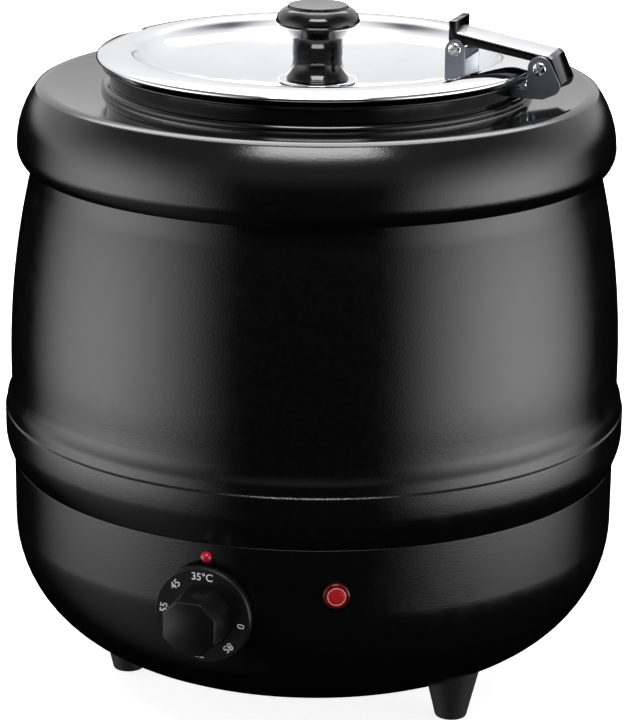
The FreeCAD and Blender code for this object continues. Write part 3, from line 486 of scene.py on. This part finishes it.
barrel = turned("barrel_casing", [
    (165.7, 131.2), (167.8, 136.8, 30.0), (170.0, 148.0), (170.0, 159.5),
    (169.12, 160.7), (169.0, 163.6, 10.0), (168.08, 167.3, -17.9),
    (166.4, 174.9), (166.4, 184.0, 449.4), (154.2, 288.0),
    (154.2, 318.8), (128.0, 318.8), (128.0, 317.3), (152.7, 317.3), (152.7, 288.0, -447.9),
    (164.9, 184.0), (164.9, 172.64, 7.9), (166.98, 167.3, -4.5), (168.16, 164.44, -398.5),
    (168.5, 148.0, -28.5), (166.41, 137.36), (164.1, 131.2)], 256, 0.5)
# Plain vertex normals keep the rolled belt's edge soft.
barrel.modifiers.clear()
finished(barrel, COAT, "casing", "barrel_shell", "barrel_shell")

collar = turned("collar_shell", [
    (157.5, 295.5, 13.4), (161.0, 304.5), (161.0, 305.0, 50.0), (150.5, 334.8, 9.0),
    (144.5, 336.2), (122.0, 333.6), (107.6, 333.6), (107.6, 325.6), (109.6, 325.6),
    (109.6, 331.1), (122.3, 331.1), (144.0, 333.6), (148.8, 332.6, -47.5),
    (158.5, 305.0), (158.5, 303.5, -5.0), (154.5, 297.9), (154.5, 295.5)], 256, 0.6)
finished(collar, COLLAR_COAT, "casing", "collar", "collar")


FOOT_REACH = 104.0
FOOT_R = 8.5
FOOT_FLARE = 7.5
FOOT_TALL = 31.0


def bowl_height(x, y):
    """Underside of the bowl where a foot meets it."""
    out = max(math.hypot(x, y) - FLOOR_R, 0.0)
    return BOWL_FLOOR + out * (outer_low[1] - BOWL_FLOOR) / (outer_low[0] - FLOOR_R)


def foot_radius(height):
    return FOOT_R + FOOT_FLARE * height / FOOT_TALL


def foot(name, azimuth):
    """Tapered rubber foot whose top follows the slope of the bowl."""
    centre = Vector((math.cos(azimuth), math.sin(azimuth))) * FOOT_REACH
    turns = 72
    rings = [(5.4, 6.0, 0.0), (5.4, 0.4, 0.0), (5.9, 0.0, 0.0), (7.7, 0.0, 0.0),
             (8.4, 0.25, 0.0), (8.8, 1.0, 0.0)]
    rings += [(0.0, 0.0, t / 8) for t in range(1, 9)]
    verts = []
    for radius, height, rise in rings:
        for k in range(turns):
            angle = 2 * math.pi * k / turns
            way = Vector((math.cos(angle), math.sin(angle)))
            r = radius
            z = height
            if rise:
                top = 24.0
                for _ in range(6):
                    spot = centre + way * foot_radius(top)
                    top = bowl_height(spot.x, spot.y) - 0.1
                z = 1.0 + (top - 1.0) * rise
                r = foot_radius(z)
            verts.append((centre.x + way.x * r, centre.y + way.y * r, z))
    faces = [(row * turns + k, row * turns + (k + 1) % turns,
              (row + 1) * turns + (k + 1) % turns, (row + 1) * turns + k)
             for row in range(len(rings) - 1) for k in range(turns)]
    verts.append((centre.x, centre.y, 6.0))
    faces += [(len(verts) - 1, (k + 1) % turns, k) for k in range(turns)]
    return mesh_object(name, verts, faces)


for foot_name, azimuth in (("front_left_foot", -156.0), ("front_right_foot", -24.0),
                           ("rear_foot", 90.0)):
    finished(foot(f"{foot_name}_rubber", math.radians(azimuth)), RUBBER, "casing",
             foot_name, foot_name)


# ------------------------------------------------------------------ lamp, bead and gland
LAMP_AZ = math.radians(-67.0)
LAMP_Z = 107.0
BEAD_Z = 124.0
GLAND_Z = 107.0
LAMP_WAY = (math.cos(LAMP_AZ), math.sin(LAMP_AZ), 0.0)
lamp_place = axis_place(tuple(c * (BOWL_R - 1.5) for c in LAMP_WAY[:2]) + (LAMP_Z,), LAMP_WAY)
rim = turned("lamp_rim", [
    (5.3, 1.0), (6.8, 1.0), (6.8, 2.9, 0.9), (6.1, 3.7), (5.3, 3.7)], 96, 0.2, lamp_place)
finished(rim, RIM_RED, "casing", "lamp_bezel", "lamp_bezel")
lens = turned("lamp_lens_cap", [
    (0.0, -3.0), (5.2, -3.0), (5.2, 3.5), (4.9, 4.0), (4.3, 4.1), (3.9, 3.9), (3.0, 4.2, 12.0),
    (0.0, 4.35)], 96, 0.15, lamp_place)
finished(lens, LENS_RED, "casing", "lamp_lens", "lamp_lens")
halo = turned("lamp_light_ring", [
    (4.15, 3.9), (4.75, 3.9), (4.75, 4.12, 0.4), (4.15, 4.12)], 96, 0.1, lamp_place)
finished(halo, RIM_LIGHT, "casing", "lamp_lens")

bead = turned("red_index_bead", [
    (0.0, -5.0), (1.5, -5.0), (1.5, -1.0), (2.9, -0.9), (3.0, 0.2, 3.0), (0.0, 3.2)],
    64, 0.1, axis_place((0.0, -166.0, BEAD_Z), (0.0, -1.0, 0.0)))
finished(bead, BEAD_RED, "casing", "index_bead", "index_bead")

gland_at = axis_place((0.0, BOWL_R + 0.1, GLAND_Z), (0.0, 1.0, 0.0))
gland_hex = turned("gland_hex", [(4.0, 0.0), (12.5, 0.0), (12.5, 4.6), (11.6, 5.0), (4.0, 5.0)],
                   6, 0.3, gland_at)
gland_cap = turned("gland_cap", [
    (4.0, 5.0), (9.5, 5.0), (9.5, 15.5, 3.0), (6.9, 18.2), (6.5, 26.0), (5.6, 26.4),
    (4.0, 26.4)], 144, 0.3, gland_at, (18, 0.5, 6.0, 14.5))
gland_neck = turned("gland_neck", [(4.0, -12.0), (8.0, -12.0), (8.0, 0.1), (4.0, 0.1)],
                    96, 0.2, gland_at)
gland = joined("cord_gland", [gland_hex, gland_cap, gland_neck])
finished(gland, NYLON, "casing", "cable_gland", "cable_gland")


# ------------------------------------------------------------------ dial
DIAL_Z = 94.5
FACE_Y = -168.0
SKIRT_DEEP = 4.5
GRIP_FROM = 4.0
GRIP_TO = 24.0
GRIP_HALF = 15.0
GRIP_FACET = 8.0
GRIP_DRAFT = math.radians(3.0)
FACET_DRAFT = 0.586
NUMERAL_TALL = 5.6
NUMERAL_R = 20.8
NUMERAL_DEEP = 0.05
SCALE = (("35°C", 0.0), ("45", 44.0), ("55", 85.0), ("65", 132.0), ("75", 176.0), ("85", 222.0),
         ("0", -98.0))

dial_place = axis_place((0.0, FACE_Y, DIAL_Z), (0.0, -1.0, 0.0))
skirt = turned("dial_skirt", [
    (3.0, 0.0), (25.2, 0.0), (26.0, 0.8), (26.0, 3.4), (25.2, SKIRT_DEEP), (3.0, SKIRT_DEEP)],
    160, 0.25, dial_place)


def octagon(half, facet, depth):
    """Corners of the grip's section at a depth in front of the dial's back."""
    inner = half - facet
    ring = [(half, -inner), (half, inner), (inner, half), (-inner, half),
            (-half, inner), (-half, -inner), (-inner, -half), (inner, -half)]
    return [(x, FACE_Y - depth, DIAL_Z + z) for x, z in ring]


def grip_part():
    """Eight-sided grip that narrows a little towards its front."""
    bm = bmesh.new()
    taper = (GRIP_TO - GRIP_FROM) * math.tan(GRIP_DRAFT)
    back = [bm.verts.new(c) for c in octagon(GRIP_HALF, GRIP_FACET, GRIP_FROM)]
    front = [bm.verts.new(c) for c in octagon(GRIP_HALF - taper, GRIP_FACET - FACET_DRAFT * taper,
                                              GRIP_TO)]
    bm.faces.new(back)
    bm.faces.new(list(reversed(front)))
    for k in range(8):
        after = (k + 1) % 8
        bm.faces.new((back[after], back[k], front[k], front[after]))
    return from_bmesh("dial_grip", bm, 0.9, segments=4)


dial = joined("dial_moulding", [skirt, grip_part()])
finished(dial, DIAL_BLACK, "dial", "control_dial", "control_dial")

numerals = []
for text, turn in SCALE:
    curve = bpy.data.curves.new("numeral", "FONT")
    curve.body = text
    curve.size = NUMERAL_TALL * MM
    curve.align_x = "CENTER"
    curve.align_y = "CENTER"
    curve.extrude = NUMERAL_DEEP * MM
    curve.offset = NUMERAL_DEEP * MM
    label = bpy.data.objects.new("numeral", curve)
    bpy.context.scene.collection.objects.link(label)
    angle = math.radians(turn)
    spot = Vector((-math.sin(angle) * NUMERAL_R, FACE_Y - SKIRT_DEEP,
                   DIAL_Z + math.cos(angle) * NUMERAL_R)) * MM
    label.matrix_world = (Matrix.Translation(spot) @ Matrix.Rotation(-angle, 4, "Y")
                          @ Matrix.Rotation(math.pi / 2, 4, "X"))
    numerals.append(label)
bpy.context.view_layer.update()
graph = bpy.context.evaluated_depsgraph_get()
bm = bmesh.new()
for label in numerals:
    flat = bpy.data.meshes.new_from_object(label.evaluated_get(graph))
    flat.transform(label.matrix_world)
    bm.from_mesh(flat)
    bpy.data.objects.remove(label)
scale_mesh = bpy.data.meshes.new("dial_numbers")
bm.to_mesh(scale_mesh)
bm.free()
numbers = bpy.data.objects.new("dial_numbers", scale_mesh)
bpy.context.scene.collection.objects.link(numbers)
finished(numbers, SCALE_WHITE, "dial", "control_dial")


# ------------------------------------------------------------------ pot and lid ring
pot = turned("soup_pot", [
    (0.0, 111.6), (0.0, 110.4), (89.0, 110.4, 16.2), (105.2, 126.6), (105.2, 334.0, -2.4),
    (107.6, 336.4), (112.6, 336.4), (113.4, 333.6), (115.4, 333.6, 3.4), (113.6, 337.6),
    (106.5, 337.6, 2.5), (104.0, 335.1), (104.0, 126.6, -15.0), (89.0, 111.6)], 224, 0.3)
finished(pot, POLISHED, "inner_pot", "inner_pot", "inner_pot")

RING_TOP = 346.6
ring = turned("lid_ring_moulding", [
    (109.5, 337.6), (111.0, 337.6), (111.0, 345.0), (114.6, 345.4, 0.9), (114.6, RING_TOP + 0.2),
    (111.0, RING_TOP), (102.8, RING_TOP - 2.5, 1.5), (101.3, RING_TOP - 4.0), (101.3, 336.5),
    (102.8, 336.5), (102.8, RING_TOP - 4.1), (109.5, RING_TOP - 2.0)], 224, 0.25)
finished(ring, GLOSS_COAT, "lid_ring", "lid_ring", "lid_ring")


# ------------------------------------------------------------------ lid
NOTCH_AZ = math.radians(172.0)
NOTCH_REACH = 119.0
NOTCH_R = 12.0
EDGE_R = 118.0
GAUGE = 0.9
DISH_LOW = 336.0
DISH_BEND = 424.0
DISH_R = 84.0
RISE_R = 95.5
ROLL_R = 101.5
CREST_R = 116.8
RISE = ((Vector((DISH_R, 344.4)), Vector((RISE_R, 350.4)), 22.0),
        (Vector((RISE_R, 350.4)), Vector((ROLL_R, 354.4)), -9.0),
        (Vector((ROLL_R, 354.4)), Vector((CREST_R, 352.3)), -34.0))


def top_height(radius):
    """Upper face of the lid above the floor: dish, rise and rolled rim."""
    if radius <= DISH_R:
        return DISH_LOW + DISH_BEND - math.sqrt(DISH_BEND * DISH_BEND - radius * radius)
    start, end, bend = next((span for span in RISE if radius <= span[1].x), RISE[-1])
    chord = end - start
    reach = math.sqrt(bend * bend - chord.length_squared / 4)
    left = Vector((-chord.y, chord.x)).normalized()
    centre = (start + end) / 2 + left * (reach if bend > 0 else -reach)
    rise = math.sqrt(max(bend * bend - (radius - centre.x) ** 2, 0.0))
    return centre.y - rise if bend > 0 else centre.y + rise


def lid_section(cut):
    """Closed lid section out to radius cut; the full edge carries a hem."""
    reach = min(cut, CREST_R)
    radii = [DISH_R * k / 14 for k in range(15)]
    for low, high, count in ((DISH_R, RISE_R, 6), (RISE_R, ROLL_R, 6), (ROLL_R, reach, 8)):
        radii += [low + (high - low) * k / count for k in range(1, count + 1)]
    top = [(r, top_height(r)) for r in radii]
    if cut >= EDGE_R - 1e-6:
        edge = [(117.35, 351.95), (117.85, 351.35), (118.0, 350.7), (117.95, 350.1),
                (117.65, 349.8), (117.1, 349.7), (116.4, 349.75), (115.9, 350.1),
                (115.65, 351.0), (115.6, 351.7)]
        inner = 115.3
    else:
        z = top_height(reach)
        edge = [(reach + out, z - down) for out, down in (
            (0.18, 0.08), (0.32, 0.2), (0.38, 0.36), (0.38, 0.5), (0.34, 0.62), (0.26, 0.74),
            (0.16, 0.83), (0.06, 0.88), (-0.05, 0.9), (-0.15, 0.9))]
        inner = reach - 0.5
    below = []
    for r in reversed(radii):
        low = min(r, inner)
        below.append((low, top_height(low) - GAUGE))
    return top + edge + below


def lid_mesh():
    """Dished lid with a ladle notch in its rim."""
    corner = math.acos((NOTCH_REACH ** 2 + EDGE_R ** 2 - NOTCH_R ** 2)
                       / (2 * NOTCH_REACH * EDGE_R))
    rounds = []
    for k in range(41):
        turn = math.pi * (k / 40 - 0.5)
        x = NOTCH_REACH - NOTCH_R * math.cos(turn)
        y = NOTCH_R * math.sin(turn)
        if math.hypot(x, y) < EDGE_R - 0.05:
            rounds.append((math.atan2(y, x), math.hypot(x, y)))
    stations = [(NOTCH_AZ + a, r) for a, r in rounds]
    open_turn = 2 * math.pi - 2 * corner
    count = 220
    stations += [(NOTCH_AZ + corner + open_turn * k / count, EDGE_R) for k in range(count + 1)]
    rows = [lid_section(cut) for _, cut in stations]
    length = len(rows[0])
    verts = [(0.0, 0.0, rows[0][0][1]), (0.0, 0.0, rows[0][-1][1])]
    for (azimuth, _), row in zip(stations, rows):
        for r, z in row[1:-1]:
            verts.append((r * math.cos(azimuth), r * math.sin(azimuth), z))
    step = length - 2
    faces = []
    total = len(stations)
    for k in range(total):
        here = 2 + k * step
        near = 2 + ((k + 1) % total) * step
        faces.append((0, here, near))
        faces.append((1, near + step - 1, here + step - 1))
        for n in range(step - 1):
            faces.append((here + n, here + n + 1, near + n + 1, near + n))
    return mesh_object("dished_lid", verts, faces, sharp=math.radians(50.0))


lid = lid_mesh()
finished(lid, MIRROR, "lid", "lid", "lid")

knob = turned("mushroom_knob", [
    (0.0, 354.0), (2.5, 354.0), (2.5, 338.2), (16.8, 338.2), (17.2, 339.4, -14.0),
    (13.4, 352.0, -14.0), (16.2, 362.0), (20.9, 367.0, 2.2), (22.5, 369.4, 9.0),
    (17.0, 376.4), (16.4, 376.2), (15.8, 378.0), (0.0, 377.6)], 160, 0.45)
finished(knob, PHENOLIC, "lid", "lid_knob", "lid_knob")
washer = turned("knob_washer_ring", [
    (2.6, 336.7), (20.6, 336.7), (21.0, 337.1), (21.0, 337.8), (20.5, 338.2), (2.6, 338.2)],
    128, 0.15)
finished(washer, MIRROR, "lid", "knob_washer", "knob_washer")


# ------------------------------------------------------------------ hinge
ARM_HALF = 13.0
EAR_IN = 13.3
EAR_OUT = 14.9
BRIDGE_HALF = 14.2
CHEEK_IN = 11.7
CHEEK_OUT = 12.96
# Span along the arm whose top carries the painted reflection.
REFLECTION_PAINT_FROM = 82.0
REFLECTION_PAINT_TO = 130.0
RIVET_Y = 7.5
OUTER = Vector((126.0, 355.1))
INNER_PIN = Vector((80.3, 362.0))
LOBE = 4.1


def strip_part():
    """Top of the arm: a flat strip whose long edges roll down over the cheeks."""
    bm = bmesh.new()
    start = Vector((80.2, 370.6))
    end = Vector((129.4, 361.7))
    along = (end - start).normalized()
    up = Vector((-along.y, along.x))
    bend = 2.2
    drop = 4.4
    section = []
    for side in (-1, 1):
        turns = range(0, 91, 15)
        arc = [(side * (ARM_HALF - bend + bend * math.sin(math.radians(t))),
                -bend + bend * math.cos(math.radians(t))) for t in turns]
        leg = arc + [(side * ARM_HALF, -drop)]
        section += leg if side == 1 else list(reversed(leg))
    inner = [(y * (ARM_HALF - 1.3) / ARM_HALF, min(z - 1.2, -1.3) if abs(y) < 12 else z)
             for y, z in section]
    loop = section + list(reversed(inner))
    ends = []
    for spot in (start, end):
        ends.append([bm.verts.new((spot.x + up.x * z, y, spot.y + up.y * z)) for y, z in loop])
    for k in range(len(loop)):
        after = (k + 1) % len(loop)
        bm.faces.new((ends[0][k], ends[0][after], ends[1][after], ends[1][k]))
    half = len(section)
    for loop_verts in ends:
        for k in range(half - 1):
            bm.faces.new((loop_verts[k], loop_verts[k + 1],
                          loop_verts[2 * half - 2 - k], loop_verts[2 * half - 1 - k]))
    return from_bmesh("arm_strip", bm, 0.0)


def cheek_parts():
    """The arm's two side plates, with a round lobe at each pin."""
    bm = bmesh.new()
    corners = [
        (INNER_PIN.x - LOBE, INNER_PIN.y, LOBE), (INNER_PIN.x, INNER_PIN.y - LOBE, LOBE),
        (INNER_PIN.x + LOBE, INNER_PIN.y), (INNER_PIN.x + LOBE, 364.6), (121.4, 358.5),
        (OUTER.x - LOBE, OUTER.y, LOBE), (OUTER.x, OUTER.y - LOBE, LOBE),
        (OUTER.x + LOBE, OUTER.y), (OUTER.x + LOBE + 0.2, 358.5), (130.4, 359.9),
        (129.0, 361.2), (80.2, 370.0), (79.0, 375.6), (76.4, 375.6)]
    for low, high in ((-CHEEK_OUT, -CHEEK_IN), (CHEEK_IN, CHEEK_OUT)):
        plate_mesh(bm, corners, low, high)
    return from_bmesh("arm_cheeks", bm, 0.2)


def end_parts():
    """Upturned lip at the lid end and the stop flange at the outer end."""
    bm = bmesh.new()
    plate_mesh(bm, [(76.2, 366.0), (80.2, 366.0), (80.2, 376.5), (76.2, 376.5)],
               -ARM_HALF, ARM_HALF, 0.5)
    lip = from_bmesh("arm_lip", bm, 0.7, segments=3)
    bm = bmesh.new()
    plate_mesh(bm, [(128.6, 361.8), (129.4, 361.75), (131.8, 360.1), (137.6, 347.2),
                    (136.2, 346.6), (130.2, 358.9), (128.4, 360.2)],
               -ARM_HALF, ARM_HALF, 0.3)
    stop = from_bmesh("arm_stop", bm, 0.4, segments=2)
    return [lip, stop]


arm = joined("hinge_link", [strip_part(), cheek_parts()] + end_parts())
finished(arm, GLOSS_COAT, "hinge_arm", "hinge_arm", "hinge_arm")
# Painted reflection: the arm's upward top faces take the bright steel colour, standing in for
# light reflected off the black arm.
arm.data.materials.append(ARM_PAINTED_REFLECTION)
for face in arm.data.polygons:
    reflection_face = face.normal.z > 0.9 and abs(face.center.y) < (ARM_HALF - 1.0) * MM
    if reflection_face and REFLECTION_PAINT_FROM * MM < face.center.x < REFLECTION_PAINT_TO * MM:
        face.material_index = 1

bm = bmesh.new()
ear = [(111.3, 339.2), (128.0, 339.2), (134.6, 342.2, 5.5), (137.0, 347.6),
       (131.6, 358.2, 6.4), (126.0, 361.5, 6.4), (119.6, 355.1), (119.6, 345.0, -1.0),
       (118.6, 344.0), (111.4, 344.0)]
for low, high in ((-EAR_OUT, -EAR_IN), (EAR_IN, EAR_OUT)):
    plate_mesh(bm, ear, low, high)
box_mesh(bm, (109.9, -BRIDGE_HALF, 339.2), (113.0, BRIDGE_HALF, 344.0))
ring_ears = from_bmesh("ring_hinge_bracket", bm, 0.22)
finished(ring_ears, ZINC, "lid_ring", "ring_bracket", "ring_bracket")

bm = bmesh.new()
ear = [(75.1, 343.6), (85.5, 346.0), (85.5, 362.0, 5.2), (80.3, 367.2, 5.2), (75.1, 362.0)]
for low, high in ((-EAR_OUT, -EAR_IN), (EAR_IN, EAR_OUT)):
    plate_mesh(bm, ear, low, high)
for bridge in ([(83.9, 345.4), (85.5, 345.8), (85.5, 356.8), (83.9, 356.8)],
               [(75.3, 343.5), (85.3, 345.9), (85.0, 347.3), (75.3, 345.0)]):
    plate_mesh(bm, bridge, -BRIDGE_HALF, BRIDGE_HALF)
lid_ears = from_bmesh("lid_hinge_bracket", bm, 0.22)
finished(lid_ears, ZINC, "lid", "lid_bracket", "lid_bracket")


def hinge_pin(name, spot, slots, body, node):
    """Pin with domed heads, each with driver slots at the given angles."""
    heads = []
    for side in (-1, 1):
        place = axis_place((spot.x, side * EAR_OUT, spot.y), (0, side, 0))
        head = turned("pin_head", [(0.0, -0.2), (3.5, -0.2), (3.5, 0.7, 1.6), (2.7, 1.3, 9.0),
                                   (0.0, 1.4)], 64, 0.12, place)
        cutters = []
        for slot in slots:
            turn = place @ Matrix.Rotation(math.radians(slot * -side), 4, "Z")
            cutters.append(cutter_box((-3.9, -0.42, 0.55), (3.9, 0.42, 2.0), turn))
        heads.append(settled(head, cutters))
    shank = turned("pin_shank", [(0.0, -EAR_OUT), (2.5, -EAR_OUT), (2.5, EAR_OUT),
                                 (0.0, EAR_OUT)], 48, 0.1,
                   axis_place((spot.x, 0, spot.y), (0, 1, 0)))
    pin = joined(name, heads + [shank])
    finished(pin, PIN_STEEL, body, node, node)


hinge_pin("outer_pin", OUTER, (35, 118), "lid_ring", "outer_hinge_pin")
hinge_pin("inner_pin", INNER_PIN, (40,), "lid", "inner_hinge_pin")


def dome(name, radius, height, base, along, crossed=False):
    """Domed rivet or screw head on a surface."""
    place = axis_place(base, along)
    head = turned(name, [(0.0, -0.3), (radius, -0.3), (radius, height * 0.35, radius * 1.15),
                         (0.0, height)], 48, 0.12, place)
    if not crossed:
        return head
    arm_length = radius * 0.55
    cutters = [cutter_box((-arm_length, -0.45, height - 1.0), (arm_length, 0.45, height + 1.0),
                          place @ Matrix.Rotation(turn, 4, "Z")) for turn in (0.0, math.pi / 2)]
    return settled(head, cutters)


def shaft(name, radius, base, along, length):
    """Plain round shank from a base point along a direction."""
    return turned(name, [(0.0, 0.0), (radius, 0.0), (radius, length), (0.0, length)],
                  32, 0.1, axis_place(base, along))


rivets = []
for side in (-RIVET_Y, RIVET_Y):
    rivets.append(dome("rivet_head", 2.6, 1.0, (113.0, side, 341.6), (1, 0, 0)))
    rivets.append(shaft("rivet_shaft", 1.45, (106.5, side, 341.6), (1, 0, 0), 6.6))
finished(joined("ring_rivet_pair", rivets), PIN_STEEL, "lid_ring", "ring_rivets", "ring_rivets")
rivets = []
for side in (-RIVET_Y, RIVET_Y):
    rivets.append(dome("rivet_head", 2.6, 1.2, (80.3, side, 347.0), (0, 0, 1)))
    rivets.append(dome("rivet_tail", 2.8, 1.5, (80.3, side, 342.0), (0, 0, -1)))
    rivets.append(shaft("rivet_shaft", 1.5, (80.3, side, 341.4), (0, 0, 1), 6.0))
finished(joined("lid_rivet_pair", rivets), PIN_STEEL, "lid", "lid_rivets", "lid_rivets")
screw = joined("knob_fixing_screw", [
    dome("screw_head", 5.0, 2.6, (0, 0, 335.05), (0, 0, -1), True),
    shaft("screw_shaft", 2.45, (0, 0, 334.9), (0, 0, 1), 17.5)])
finished(screw, PIN_STEEL, "lid", "knob_screw", "knob_screw")
heads = []
for k in range(4):
    angle = math.radians(90 * k + 45)
    spot = (82.5 * math.cos(angle), 82.5 * math.sin(angle))
    heads.append(dome("screw_head", 3.6, 2.0, (*spot, 18.5), (0, 0, -1), True))
    heads.append(shaft("screw_shaft", 1.95, (*spot, 18.4), (0, 0, 1), 6.5))
finished(joined("base_screw_set", heads), PIN_STEEL, "casing", "base_screws", "base_screws")


# ------------------------------------------------------------------ studio
VIEW_AZ = 18.8
FLOOR_GLOW = 0.85
LEFT_LIGHT = 4.2
RIGHT_LIGHT = 5.1
BACKDROP_LIGHT = 1.25
HIGH_BACK_LIGHT = 6.0
OVERHEAD_LIGHT = 1.3
SKY_LIGHT = 0.25
TOP_FRONT_LIGHT = 15.0


def in_world(azimuth, elevation):
    """Unit direction from the kettle, with the azimuth turned from its front to its right."""
    a = math.radians(azimuth)
    e = math.radians(elevation)
    return Vector((math.sin(a) * math.cos(e), -math.cos(a) * math.cos(e), math.sin(e)))


floor_bm = bmesh.new()
bmesh.ops.create_grid(floor_bm, x_segments=1, y_segments=1, size=6000.0)
floor = from_bmesh("studio_floor", floor_bm, 0.0)
floor_look = Look("pale_floor", (0.80, 0.80, 0.80), 0.9)
floor_look.vary_colour(floor_look.noise(180.0), (0.82, 0.82, 0.82))
floor.data.materials.append(floor_look.material)
floor_look.shader.inputs["Emission Color"].default_value = (1.0, 1.0, 1.0, 1.0)
floor_look.shader.inputs["Emission Strength"].default_value = FLOOR_GLOW
floor.visible_glossy = False
floor.visible_diffuse = False
floor.visible_shadow = False

world = bpy.data.worlds.new("studio")
bpy.context.scene.world = world
world.use_nodes = True
sky = world.node_tree
sky.nodes.clear()
look_way = sky.nodes.new("ShaderNodeTexCoord").outputs["Generated"]
split = sky.nodes.new("ShaderNodeSeparateXYZ")
sky.links.new(look_way, split.inputs[0])
height = split.outputs["Z"]
flat = maths(sky, "SQRT", maths(sky, "SUBTRACT", 1.0001, maths(sky, "MULTIPLY", height, height)))


def share(azimuth):
    """1 where the looked-up direction lies at an azimuth, 0 a quarter turn from it."""
    made = sky.nodes.new("ShaderNodeVectorMath")
    made.operation = "DOT_PRODUCT"
    sky.links.new(look_way, made.inputs[0])
    made.inputs[1].default_value = in_world(azimuth, 0.0)
    return maths(sky, "DIVIDE", made.outputs["Value"], flat)


def soft(value, low, high):
    return ramp(sky, value, low, high, "SMOOTHSTEP")


def patch(level, *masks):
    """Light of a level where every mask is 1."""
    total = masks[0]
    for mask in masks[1:]:
        total = maths(sky, "MULTIPLY", total, mask)
    return maths(sky, "MULTIPLY", total, level)


def both(first, second):
    return maths(sky, "ADD", first, second)


def side_box(level, turn, tail):
    """Soft light beside the kettle, centred a number of degrees round from the camera,
    with a weak tail below it."""
    low = both(patch(1.0 - tail, soft(height, -0.43, -0.25)),
               patch(tail, ramp(sky, height, -1.0, -0.3)))
    lobe = maths(sky, "POWER", ramp(sky, share(VIEW_AZ + turn), 0.6, 1.0), 2.0)
    return patch(level, lobe, low, soft(height, 0.62, -0.1))


front = share(VIEW_AZ)
side_boxes = both(side_box(LEFT_LIGHT, -80.0, 0.13), side_box(RIGHT_LIGHT, 76.0, 0.0))
backdrop = patch(BACKDROP_LIGHT, soft(front, -0.1, -0.75), soft(height, -0.02, 0.12))
high_back = patch(HIGH_BACK_LIGHT, soft(front, -0.75, -0.88), soft(height, 0.50, 0.62),
                  soft(height, 0.99, 0.95))
overhead = both(patch(OVERHEAD_LIGHT, soft(height, 0.85, 0.97)),
                patch(SKY_LIGHT, soft(height, 0.15, 0.5)))
top_front = patch(TOP_FRONT_LIGHT, soft(front, 0.80, 0.88), soft(height, 0.72, 0.78),
                  soft(height, 0.93, 0.88))
glow = both(both(side_boxes, both(backdrop, high_back)), both(overhead, top_front))
studio = sky.nodes.new("ShaderNodeBackground")
sky.links.new(glow, studio.inputs["Strength"])
plain = sky.nodes.new("ShaderNodeBackground")
plain.inputs["Color"].default_value = (1.0, 1.0, 1.0, 1.0)
plain.inputs["Strength"].default_value = 1.0
paths = sky.nodes.new("ShaderNodeLightPath")
pick = sky.nodes.new("ShaderNodeMixShader")
sky.links.new(paths.outputs["Is Camera Ray"], pick.inputs[0])
sky.links.new(studio.outputs[0], pick.inputs[1])
sky.links.new(plain.outputs[0], pick.inputs[2])
target = sky.nodes.new("ShaderNodeOutputWorld")
sky.links.new(pick.outputs[0], target.inputs[0])
bpy.context.scene.view_settings.view_transform = "Standard"


# ------------------------------------------------------------------ camera
CAMERA_PITCH = 0.3006
CAMERA_ROLL = 0.0101
CAMERA_AWAY = 1.5
CAMERA_UP = 0.645
CAMERA_LENS = 142.25

az = math.radians(VIEW_AZ)
ahead = Vector((-math.sin(az) * math.cos(CAMERA_PITCH), math.cos(az) * math.cos(CAMERA_PITCH),
                -math.sin(CAMERA_PITCH)))
rightward = Vector((math.cos(az), math.sin(az), 0.0))
upward = rightward.cross(ahead)
x_axis = math.cos(CAMERA_ROLL) * rightward + math.sin(CAMERA_ROLL) * upward
y_axis = -math.sin(CAMERA_ROLL) * rightward + math.cos(CAMERA_ROLL) * upward
camera_data = bpy.data.cameras.new("camera")
camera_data.lens = CAMERA_LENS
camera_data.sensor_width = 36.0
camera_data.clip_start = 0.05
camera_data.clip_end = 50.0
camera = bpy.data.objects.new("camera", camera_data)
bpy.context.scene.collection.objects.link(camera)
pose = Matrix((x_axis, y_axis, -ahead)).transposed().to_4x4()
pose.translation = in_world(VIEW_AZ, 0.0) * CAMERA_AWAY + Vector((0.0, 0.0, CAMERA_UP))
camera.matrix_world = pose
bpy.context.scene.camera = camera
